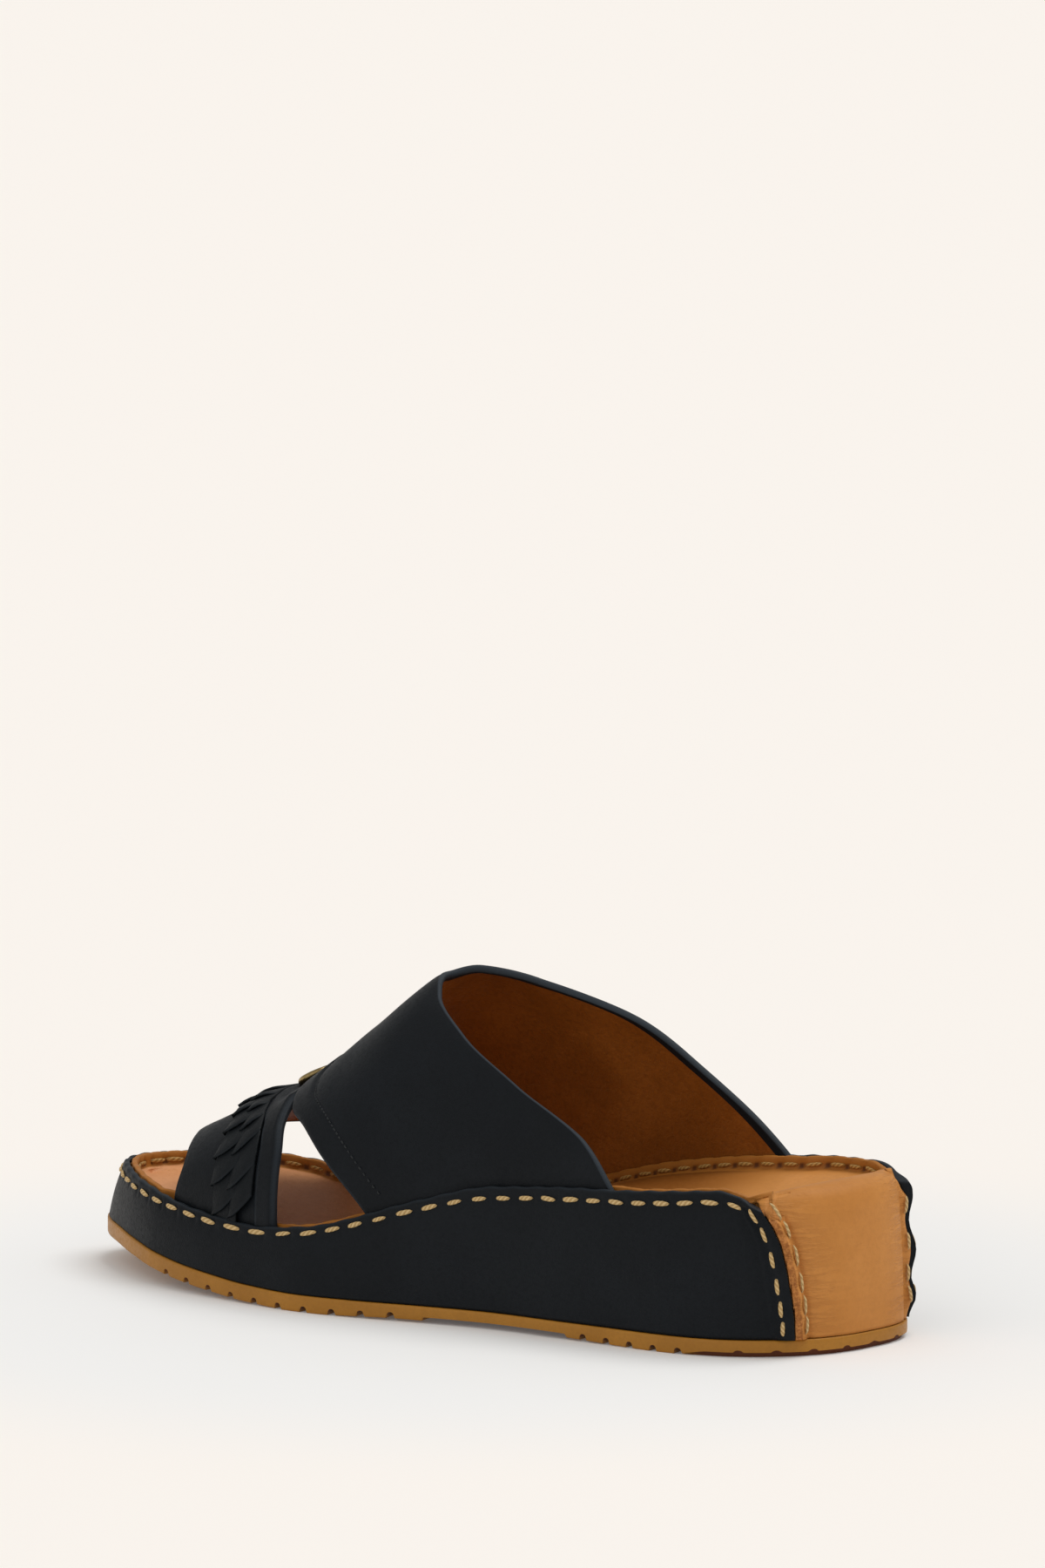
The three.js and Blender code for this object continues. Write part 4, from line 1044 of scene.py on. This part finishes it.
# %% Hide
def tan_hide_grid():
    """Rows pair a point of the inner side with the one across; each row is a loop round the hide."""
    near, far = seam_share(near_seam, 0.5), 1 - seam_share(far_seam, 0.5)
    rows = np.concatenate([np.linspace(0, 0.5, 400), near + np.linspace(-0.002, 0.012, 80),
                           far + np.linspace(-0.002, 0.009, 50)])
    rows = np.unique(np.round(rows, 5))
    inner_top, inner_under, inner_delta = hide_side(rows, near_seam, 1)
    outer_top, outer_under, outer_delta = hide_side(1 - rows, far_seam, -1)
    along = rim(rows)["along"]

    def between(a, b, steps, drop):
        points = []
        for t in np.linspace(0, 1, steps)[1:-1]:
            point = a * (1 - t) + b * t
            point[:, 2] = bed_height(point[:, 0], point[:, 1], along, 1 - abs(1 - 2 * t)) - drop
            points.append(point)
        return points

    across = between(inner_top[-1], outer_top[-1], 26, 0)
    below = between(outer_under[-1], inner_under[-1], 12, cover_thickness)
    loop = [*inner_under[::-1], *inner_top, *across, *outer_top[::-1], *outer_under, *below]
    return np.stack(loop, axis=1), rows, inner_delta, outer_delta


def tan_hide_piece():
    """The hide's mesh, with its cut edges, its creased parts and the part under the straps painted."""
    grid, rows, inner_delta, outer_delta = tan_hide_grid()
    piece = grid_mesh("tan_hide", grid, closed=True)
    cut, creased, lip, stitch_hole_shade = (np.zeros(grid.shape[:2]) for _ in range(4))
    count = len(inner_delta)
    first, last = 6, 6 + count + 24 + count - 1
    for k in range(count):
        for column, delta, seam in ((first + k, inner_delta[k], near_seam),
                                    (last - k, outer_delta[k], far_seam)):
            if k <= len(face_heights):
                edge = seam["tan_edge"]
                cut[:, column] = smooth(0.3, 0.5, delta) * (1 - smooth(edge - 0.3, edge + 0.1, delta))
            creased[:, column] = smooth(-14, -4, delta) * (1 - 0.9 * smooth(7, 22, delta))
            if k < len(face_heights) + 4:
                lip[:, column] = 1 - smooth(-6, 0, delta)
    # The lip's stitch holes are marked for their painted shade.
    for turn, step, start in ((rows, 1, first), (-rows, -1, last)):
        hole = np.exp(-((nearest_gap(inner_stitches, turn) - 3.9) / 0.9) ** 2)
        for k in (1, 2):
            stitch_hole_shade[:, start + step * (len(face_heights) + k)] = hole
    x = grid[..., 0] / overall_length + 0.5
    paint(piece, "cut", cut)
    paint(piece, "stitch_hole_shade", stitch_hole_shade * lip)
    paint(piece, "creased", creased)
    paint(piece, "lip", lip)
    # Under the straps: a pinker tone of the hide, and painted light.
    paint(piece, "under_straps", (1 - smooth(0.5, 0.62, x)) * (1 - lip))
    # The bed under the instep band, towards the seat, is darkened: painted shade.
    paint(piece, "shade_under_band", 0.92 * smooth(0.52, 0.64, x) * (1 - smooth(0.7, 0.87, x)) * (1 - lip))
    face_outwards(piece)
    return piece


dress(tan_hide_piece(), "footbed_leather", tan_leather, replaces=("insole_cover",))

# %% [markdown]
# ## The straps
#
# The instep band and the toe strap are each one thick hide over the foot, black outside, brown inside,
# with the black leather turned in at both edges. Each is a tube along the strap: over the outer face,
# round one edge, back along the lining and round the other edge.


# %% Straps
def strap_columns(count, width, edge):
    """Distances across a strap from its front edge, close together near both edges."""
    t = (1 - np.cos(np.linspace(0, np.pi, count))) / 2
    near = 0.35 * t + 0.65 * np.linspace(0, 1, count)
    return edge + (width - 2 * edge)[:, None] * near


def strap_grid(front, back, rows, count, tuck, relief_at):
    """Closed loops across the strap for every row over the foot; the feet go down into the ridge."""
    over = np.linspace(0, 1, rows)
    start, width = front(over), back(over) - front(over)
    edge = 0.5 * upper_thickness
    across = strap_columns(count, width * overall_length, edge)
    outer_lift = relief_at(across, over[:, None], width[:, None] * overall_length)
    turn = np.linspace(0, np.pi, 9)[1:-1]
    half = 0.5 * upper_thickness
    columns = [
        (across, outer_lift),
        (width[:, None] * overall_length - edge + edge * np.sin(turn), -half + half * np.cos(turn)),
        (across[:, ::-1], -upper_thickness),
        (edge - edge * np.sin(turn), -half - half * np.cos(turn)),
    ]
    reach = np.concatenate([np.broadcast_to(a, (rows, a.shape[-1])) for a, _ in columns], axis=1)
    lift = np.concatenate([np.broadcast_to(b, (rows, a.shape[-1])) for a, b in columns], axis=1)
    along = start[:, None] + reach / overall_length
    spread = np.broadcast_to(over[:, None], along.shape)
    grid = lifted_point(along, spread, lift - tuck(along, spread))
    feet = []
    for row, side in ((0, -1), (-1, 1)):
        base = last_point(along[row], spread[row])
        base[:, 1] += side * lift[row]
        feet.append(np.stack([base - np.array([0, 0, down]) for down in (foot_down, 0.5 * foot_down)]))
    return np.concatenate([feet[0], grid, feet[1][::-1]]), along, reach


def lining_columns(across, count):
    """1 for the faces of the lining, 0 for the outer leather and the part of it turned in."""
    inner = np.zeros(2 * count + 14, np.int32)
    turned = 2.2
    lining = np.arange(count + 7, 2 * count + 7)
    reach = np.median(across[:, lining], axis=0)
    widest = np.median(across[:, count - 1])
    inner[lining] = (reach > turned) & (reach < widest - turned)
    return inner


# %% Instep band
border_seam = 9.4


def band_relief(reach, over, width):
    """Outer face of the band: a low step where the front border is folded back, and soft sags."""
    border = 0.55 * (1 - smooth(8.2, 9.6, reach))
    seam = -0.75 * np.exp(-((reach - border_seam) / 0.5) ** 2)
    roll = -0.35 * np.exp(-(reach / 1.3) ** 2) - 0.35 * np.exp(-((width - reach) / 1.6) ** 2)
    sag = 0.35 * np.sin(9 * over + 0.05 * reach) * np.sin(0.11 * reach + 5 * over)
    side = smooth(0.02, 0.3, over) * (1 - smooth(0.7, 0.98, over))
    return border * side + seam * side + roll + sag * smooth(2, 14, reach) * smooth(2, 14, width - reach)


def instep_band():
    """The band's tube, its two edges painted lighter: wear and a painted highlight on their rounding."""
    count = 64
    grid, _, reach = strap_grid(band_front, band_back, 240, count, lambda a, o: 0 * a, band_relief)
    piece = grid_mesh("instep_band", grid, closed=True, caps=True,
                      column_materials=lining_columns(reach, count))
    wear_and_highlight = np.zeros(grid.shape[:2])
    wear_and_highlight[:, count: count + 7] = 0.9
    wear_and_highlight[:, -7:] = 0.45
    paint(piece, "wear_and_highlight", wear_and_highlight)
    face_outwards(piece)
    return piece


dress(instep_band(), "upper_leather", black_leather, lining_leather, replaces=("upper",))


# %% Toe strap
def toe_relief(reach, over, width):
    """Outer face of the toe strap: rounded edges, and a raised border behind the scales."""
    roll = -0.35 * np.exp(-(reach / 1.3) ** 2) - 0.35 * np.exp(-((width - reach) / 1.3) ** 2)
    behind = (scale_back(over) - toe_front(over)) * overall_length
    border = 1.0 * smooth(behind + 0.4, behind + 1.2, reach)
    near_top = smooth(0.22, 0.42, over) * (1 - smooth(0.58, 0.78, over))
    folds_across = 0.45 * near_top * np.sin(1.15 * (reach - behind) + 9 * over)
    folds_across = folds_across * smooth(behind, behind + 3, reach)
    return roll + border + folds_across


def toe_swell(along, over):
    """The front of the toe strap stands off the foot, most on top and at its front edge."""
    behind = (along - toe_front(over)) * overall_length
    over_top = smooth(0.1, 0.4, over) * (1 - smooth(0.6, 0.9, over))
    return 2.2 * over_top * (1 - smooth(0, 20, behind))


def toe_strap():
    """The toe strap's tube, painted lighter along its edges and along the step behind the scales: wear and a
    painted highlight.
    """
    count = 48

    def front(over):
        return toe_front(over) - 0.006 * smooth(0.15, 0.4, over) * (1 - smooth(0.6, 0.85, over))

    def tuck(along, over):
        return bridge_tuck(along, over) - toe_swell(along, over)

    grid, _, reach = strap_grid(front, toe_back, 240, count, tuck, toe_relief)
    piece = grid_mesh("toe_strap", grid, closed=True, caps=True,
                      column_materials=lining_columns(reach, count))
    wear_and_highlight = np.zeros(grid.shape[:2])
    wear_and_highlight[:, count: count + 7] = 0.5
    wear_and_highlight[:, -7:] = 0.3
    over = np.concatenate([[0, 0], np.linspace(0, 1, 240), [1, 1]])[:, None]
    step_at = (scale_back(over) - toe_front(over)) * overall_length + 1.1
    padded = np.concatenate([reach[:1], reach[:1], reach, reach[-1:], reach[-1:]])
    outer = np.arange(grid.shape[1])[None, :] < count
    # The step behind the scales is painted lighter: wear and a painted highlight on the border's edge.
    wear_and_highlight += 0.6 * np.exp(-((padded - step_at) / 0.5) ** 2) * outer
    paint(piece, "wear_and_highlight", wear_and_highlight)
    face_outwards(piece)
    return piece


dress(toe_strap(), "upper_leather", black_leather, lining_leather, replaces=("upper",))

# %% [markdown]
# ## The leather scales
#
# A band of leather scales lies over the toe strap, two columns of them on each side of the foot. Each
# scale is a leaf cut from thin leather, laid on the slant with its lower edge free and its upper edge
# tucked under the next, as tiles are laid on a roof. All of them are one mesh of equal small grids.


# %% Scales
scale_pitch, scale_slant, scale_depth = 9.6, 12.0, 12.8
scale_thickness = 0.95


def strap_run(count=400):
    """Distance along the middle of the scale band from the inner foot, for evenly spaced places."""
    over = np.linspace(0, 1, count)
    points = last_point(0.5 * (scale_front(over) + scale_back(over)), over)
    steps = np.linalg.norm(np.diff(points, axis=0), axis=-1)
    return over, np.concatenate([[0], np.cumsum(steps)])


def scale_layout():
    """Rows up each side of the foot in two columns, the rear one half a step higher."""
    _, run = strap_run()
    half = 0.5 * run[-1]
    places = []
    for side in (0, 1):
        for column, (first, last) in enumerate(((-0.06, 0.6), (0.4, 1.0))):
            low = -6.5 + 0.5 * scale_pitch * column
            for row in range(9):
                start = low + scale_pitch * row
                if start + 0.5 * scale_slant < half - 0.4 * scale_pitch:
                    places.append((side, start, first, last, column))
    return np.array(places), run


def scales():
    """Leaves: rows along each, columns over its top face and back below, thin at both edges."""
    places, run = scale_layout()
    over_table, _ = strap_run()
    side, start, first, last, column = (places[:, k][:, None, None] for k in range(5))
    xi = np.linspace(0, 1, 15)[None, :, None]
    t = np.array([0.0, 0.015, 0.05, 0.12, 0.25, 0.42, 0.6, 0.78, 0.92, 1.0])
    t = np.concatenate([t, t[::-1]])[None, None, :]
    face = np.concatenate([np.ones(10), -np.ones(10)])[None, None, :]
    first = first + 0.3 * smooth(0.55, 1.0, 2 * start / run[-1]) * (1 - column)
    across = first + (last - first) * xi
    leaf = np.sqrt(np.clip(1 - (1 - np.clip(xi / 0.5, 0, 1)) ** 2, 0, 1))
    rng = np.random.default_rng(11)
    shift_each = rng.normal(0, 0.35, len(places))[:, None, None]
    slanted = scale_slant * across - 1.0 * np.sin(np.pi * xi)
    along_run = start + shift_each + slanted + scale_depth * t * leaf
    along_run = np.maximum(along_run, 0.4)
    over = np.interp(along_run, run, over_table)
    over = np.where(side > 0, 1 - over, over)
    front, back = scale_front(over), scale_back(over)
    along = front + (back - front) * np.clip(across, -0.1, 1.02)
    rounded = 0.5 * scale_thickness * np.sqrt(np.clip(1 - (1 - np.clip(t / 0.05, 0, 1)) ** 2, 0, 1))
    raised = 1.35 - 1.05 * smooth(0, 0.75, t) + 0.35 * column * (1 - xi)
    raised = raised * (1 - smooth(0.55, 1, xi) * (0.45 + 0.3 * column)) * (0.6 + 0.4 * smooth(0, 0.35, xi))
    curl = 0.1 * (1 - smooth(0, 0.3, xi)) * (1 - t)
    lift = clearance + 0.5 * scale_thickness + raised + curl + face * rounded
    lift = np.maximum(lift, 0.12) + toe_swell(along, over)
    wide = np.broadcast_arrays(along, over, lift)
    grid = lifted_point(*wide)
    piece = grid_mesh("leather_scales", grid, closed=True, caps=True)
    # The free lower edge of each scale is painted lighter: wear and a painted highlight.
    free = np.broadcast_to((1 - smooth(0.02, 0.07, t)) * (face > 0) * smooth(0.02, 0.2, xi), lift.shape)
    paint(piece, "wear_and_highlight", 0.35 * free)
    face_outwards(piece)
    return piece


dress(scales(), "scale_leather", scale_leather, replaces=("scale_overlay",))

# %% [markdown]
# ## Link and strip
#
# An oval brass link lies on the bridge between the two straps, with a short strip of leather through it.

# %% Brass link and its leather
bridge_along, ring_clear, ring_wire = 0.273, 1.2, 2.2
ring_across, ring_run = 24, 16
loop_side, loop_thickness = 2, 2.4


def bridge_frame():
    """Directions along, across and off the surface on top of the foot, and the place itself."""
    at = last_point(bridge_along, 0.5)
    run = last_point(bridge_along + 0.012, 0.5) - last_point(bridge_along - 0.012, 0.5)
    run /= np.linalg.norm(run)
    sideways = np.array([0.0, 1.0, 0.0])
    return at, run, sideways, np.cross(run, sideways)


def brass_link():
    """A round wire carried round an ellipse."""
    at, run, sideways, normal = bridge_frame()
    around, section = np.meshgrid(np.linspace(0, 2 * np.pi, 97), np.linspace(0, 2 * np.pi, 21)[:-1],
                                  indexing="ij")
    out = 0.5 * ring_wire * np.cos(section)
    x = (0.5 * (ring_run - ring_wire) + out) * np.cos(around)
    y = (0.5 * (ring_across - ring_wire) + out) * np.sin(around)
    z = ring_clear + 0.5 * ring_wire + 0.5 * ring_wire * np.sin(section)
    grid = at + x[..., None] * run + y[..., None] * sideways + z[..., None] * normal
    piece = grid_mesh("brass_link", grid, closed=True)
    face_outwards(piece)
    return piece


def leather_strip():
    """A pad inside the link: an ellipse with a rounded edge, slightly crowned."""
    at, run, sideways, normal = bridge_frame()
    half_run = 0.5 * (ring_run - 2 * ring_wire - 2 * clearance)
    half_across = 0.5 * (ring_across - 2 * ring_wire - 2 * loop_side)
    profile = np.array([(0, 0.0), (0.8, 0.0), (0.94, 0.15), (1.0, 0.7), (1.0, 1.5), (0.95, 2.0),
                        (0.85, 2.3), (0.6, 2.45), (0.3, 2.5), (0, 2.5)])
    around = np.linspace(0, 2 * np.pi, 65)[:-1]
    x = half_run * profile[:, :1] * np.cos(around)
    y = half_across * profile[:, :1] * np.sin(around)
    z = clearance + profile[:, 1:] * loop_thickness / 2.5 + 0 * x
    grid = at + x[..., None] * run + y[..., None] * sideways + z[..., None] * normal
    piece = grid_mesh("leather_strip", grid, closed=True)
    # The crown of the pad is painted lighter: wear and a painted highlight.
    paint(piece, "wear_and_highlight", np.clip(profile[:, 1:] - 2.0, 0, 0.3) + 0 * x)
    face_outwards(piece)
    return piece


dress(brass_link(), "ring_metal", brass, replaces=("brass_ring",))
dress(leather_strip(), "loop_leather", black_leather, replaces=("leather_loop",))
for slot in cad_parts["midsole"].material_slots:
    slot.material = core

# %% [markdown]
# ## Stitches
#
# The wall is sewn through with thick waxed thread. One stitch is a short round bar whose two ends dive
# into their holes; a row of them is one mesh, made at once from the places and directions of all.


# %% Stitches
def stitch_mesh(name, centre, run, out, length=5.7, breadth=1.5, height=0.9, proud=0.0, seed=3):
    """Bars along run, arched so that both ends dive into the leather; thin at the ends."""
    rng = np.random.default_rng(seed)
    count = len(centre)
    run = run / np.linalg.norm(run, axis=-1, keepdims=True)
    side = np.cross(out, run)
    side /= np.linalg.norm(side, axis=-1, keepdims=True)
    out = np.cross(run, side)
    tilt = rng.normal(0, 0.05, count)[:, None]
    run, side = run + tilt * side, side - tilt * run
    size = 1 + rng.normal(0, 0.05, count)[:, None, None]
    u, a = np.meshgrid(np.linspace(-1, 1, 13), np.linspace(0, 2 * np.pi, 11)[:-1], indexing="ij")
    body = np.clip(1 - np.abs(u) ** 2.6, 0, 1) ** 0.6
    along = 0.5 * np.broadcast_to(length, count)[:, None, None] * u * size
    across = 0.5 * breadth * body * np.cos(a) * size
    lift = 0.5 * height * body * np.sin(a) + 0.45 * height * (1 - 1.6 * np.abs(u) ** 4) + proud
    lift = lift[..., None] + 0 * along[..., None]
    grid = (centre[:, None, None] + along[..., None] * run[:, None, None]
            + across[..., None] * side[:, None, None] + lift * out[:, None, None])
    piece = grid_mesh(name, grid, closed=True)
    face_outwards(piece)
    return piece


def wall_surface(share, below_top):
    """Point on the wall's outer face at a distance below its top."""
    place = rim(share)
    low = wall_foot(place["along"]) + clearance
    top = ridge_top(place["y"], place["along"]) - corner_drop(share)
    z = top - below_top
    height = (z - low) / (top - low)
    return inset(place, wall_inset(height, place["along"]), z)


def lip_surface(share, below_top):
    """Point on the lip's inner face at a distance below its top."""
    place = rim(share)
    out, z = lip_profile(2.0, "top", -below_top)(share, place)
    return inset(place, out, z)


def corner_surface(seam, sign, height, distance, tan):
    """Point on a heel corner at a distance from its seam, on the wall's side or on the heel's."""
    turn = seam_share(seam, height) + sign * (distance if tan else -distance) / rim_length
    place = rim(turn)
    low = wall_foot(place["along"]) + clearance
    if tan:
        proud = heel_face(seam, height, distance, sign > 0)
    else:
        fading = 1 - smooth(wrap_thickness, 7.0, distance)
        proud = (seam_proud(seam, height) + corner_wave(seam, height)) * fading
    z = low + (ridge_top(place["y"], place["along"]) - low) * height
    return inset(place, wall_inset(height, place["along"]) - proud, z)


def directions(surface, first, second, step_a, step_b, share, inwards=False):
    """Place, direction along the row and direction off the surface, from small steps both ways."""
    centre = surface(first, second)
    run = surface(first + step_a, second) - surface(first - step_a, second)
    other = surface(first, second + step_b) - surface(first, second - step_b)
    out = np.cross(run, other)
    out /= np.linalg.norm(out, axis=-1, keepdims=True)
    place = rim(share)
    facing = np.sign(out[:, 0] * place["nx"] + out[:, 1] * place["ny"])[:, None]
    return centre, run, out * facing * (-1 if inwards else 1)


def stitch_row(name, places, thread, slot_name, **size):
    """A row of stitches at its places, dressed in a thread."""
    centre, run, out = places
    return dress(stitch_mesh(name, centre, run, out, **size), slot_name, thread)


gaps = np.diff(outer_stitches) * rim_length
lengths = np.concatenate([[5.6], np.clip(0.66 * gaps, 5.2, 7.2)])
outer_places = directions(wall_surface, outer_stitches, row_depth(outer_stitches), 0.002, 0.5,
                          outer_stitches)
inner_places = directions(lip_surface, inner_stitches, 2.6, 0.002, 0.5, inner_stitches, True)
stitch_row("outer_stitches", outer_places, cream_thread, "wall_leather", length=lengths, seed=3)
stitch_row("inner_stitches", inner_places, tan_thread, "footbed_leather",
           length=6.0, breadth=1.3, height=0.8, seed=5)
for seam, sign, label in ((near_seam, 1, "near"), (far_seam, -1, "far")):
    for tan in (False, True):
        heights = seam["stitches"] + (0.015 if tan else 0.0)
        distance = seam["tan_edge"] + 0.9 if tan else 3.2

        def surface(height, out, seam=seam, sign=sign, tan=tan):
            return corner_surface(seam, sign, height, out, tan)

        at = directions(surface, heights, distance, 0.01, 0.2, seam_share(seam, heights))
        stitch_row(f"{label}_corner_{'tan' if tan else 'black'}_stitches", at, cream_thread,
                   "footbed_leather" if tan else "wall_leather", length=6.2 + 0.7 * sign if tan else 5.8,
                   breadth=1.3 + 0.2 * sign if tan else 1.5, proud=0.45 if tan else 0.0, seed=7 + sign)


def band_surface(over, reach):
    """Point on the band's outer face, this far behind its front edge."""
    along = band_front(over) + reach / overall_length
    return lifted_point(along, over, band_relief(reach, over, reach + 30) + 0 * along)


def band_row():
    """A fine row of thread in the seam behind the band's front border, about 2 mm a stitch."""
    over = np.linspace(0.03, 0.97, 110)
    reach = np.full(len(over), border_seam)
    centre = band_surface(over, reach)
    run = band_surface(over + 0.002, reach) - band_surface(over - 0.002, reach)
    other = band_surface(over, reach + 4.0) - band_surface(over, reach - 4.0)
    out = np.cross(run, other)
    out /= np.linalg.norm(out, axis=-1, keepdims=True)
    return centre, run, out * np.sign(out[:, 2:3] + 1e-9)


stitch_row("band_stitches", band_row(), black_thread, "upper_leather",
           length=1.5, breadth=0.6, height=0.5, seed=9)

# %% [markdown]
# ## Camera, floor and light
#
# The camera stands at the photograph's angle, far away with a long lens, so that lines stay nearly
# parallel. A pale seamless floor and a large soft light from above and the right leave one soft shadow.
# A weaker light from the camera's side fills the dark leather.

# %% Camera
turn_angle, tip_angle = np.radians(36.34), np.radians(10.36)
right = np.array([np.cos(turn_angle), np.sin(turn_angle), 0])
ahead = np.array([-np.sin(turn_angle) * np.cos(tip_angle), np.cos(turn_angle) * np.cos(tip_angle),
                  -np.sin(tip_angle)])
upward = np.cross(right, ahead)
place_from = (np.array([-1.235, -0.573, -1.2]) - 4000 * ahead) * to_metres
camera_data = bpy.data.cameras.new("camera")
camera_data.lens = 291.44
camera_data.shift_x, camera_data.shift_y = 0.02411, 0.33044
camera_data.clip_start, camera_data.clip_end = 0.1, 30
camera = bpy.data.objects.new("camera", camera_data)
turned = Matrix((right, upward, -ahead)).transposed().to_4x4()
camera.matrix_world = Matrix.Translation(place_from) @ turned
bpy.context.scene.collection.objects.link(camera)
bpy.context.scene.camera = camera
print("camera at", [round(v, 3) for v in place_from])


# %% Floor
def pale_floor():
    """Pale paper: a little of its brightness is its own glow, so that shadows stay soft.

    Near the shoe it is a little cooler: a bell of the distance from the origin mixes two tones."""
    material, tree, shader = start_material("pale_floor", 0.95, 0.0)
    where = tree.nodes.new("ShaderNodeTexCoord").outputs["Object"]
    length = tree.nodes.new("ShaderNodeVectorMath")
    length.operation = "LENGTH"
    tree.links.new(where, length.inputs[0])
    far = span(tree, length.outputs["Value"], 0.16, 0.3)
    colour = blend_colours(tree, far, (0.862, 0.856, 0.842), (0.925, 0.881, 0.832))
    tree.links.new(colour, shader.inputs["Base Color"])
    tree.links.new(colour, shader.inputs["Emission Color"])
    shader.inputs["Emission Strength"].default_value = 0.08
    return material


across = np.linspace(-9, 9, 13) / to_metres
sheet_x, sheet_y = np.meshgrid(across, across, indexing="ij")
floor = grid_mesh("floor", np.stack([sheet_x, sheet_y, 0 * sheet_x], axis=-1))
floor.data.materials.append(pale_floor())


# %% Lights
def soft_sun(name, towards, strength, spread, colour=(1, 1, 1)):
    """A distant light that covers a wide patch of sky, so that its shadows have soft edges."""
    data = bpy.data.lights.new(name, "SUN")
    data.energy, data.angle, data.color = strength, np.radians(spread), colour
    light = bpy.data.objects.new(name, data)
    light.rotation_euler = Vector(towards).to_track_quat("-Z", "Y").to_euler()
    bpy.context.scene.collection.objects.link(light)
    return light


soft_sun("key", (-0.28, -0.3, -1.0), 1.38, 40)
soft_sun("side", (0.0, 0.85, -0.55), 0.45, 70)
world = bpy.data.worlds.new("studio")
world.use_nodes = True
world.node_tree.nodes["Background"].inputs["Color"].default_value = (1.0, 0.99, 0.975, 1)
world.node_tree.nodes["Background"].inputs["Strength"].default_value = 0.465
bpy.context.scene.world = world
bpy.context.scene.view_settings.view_transform = "Standard"
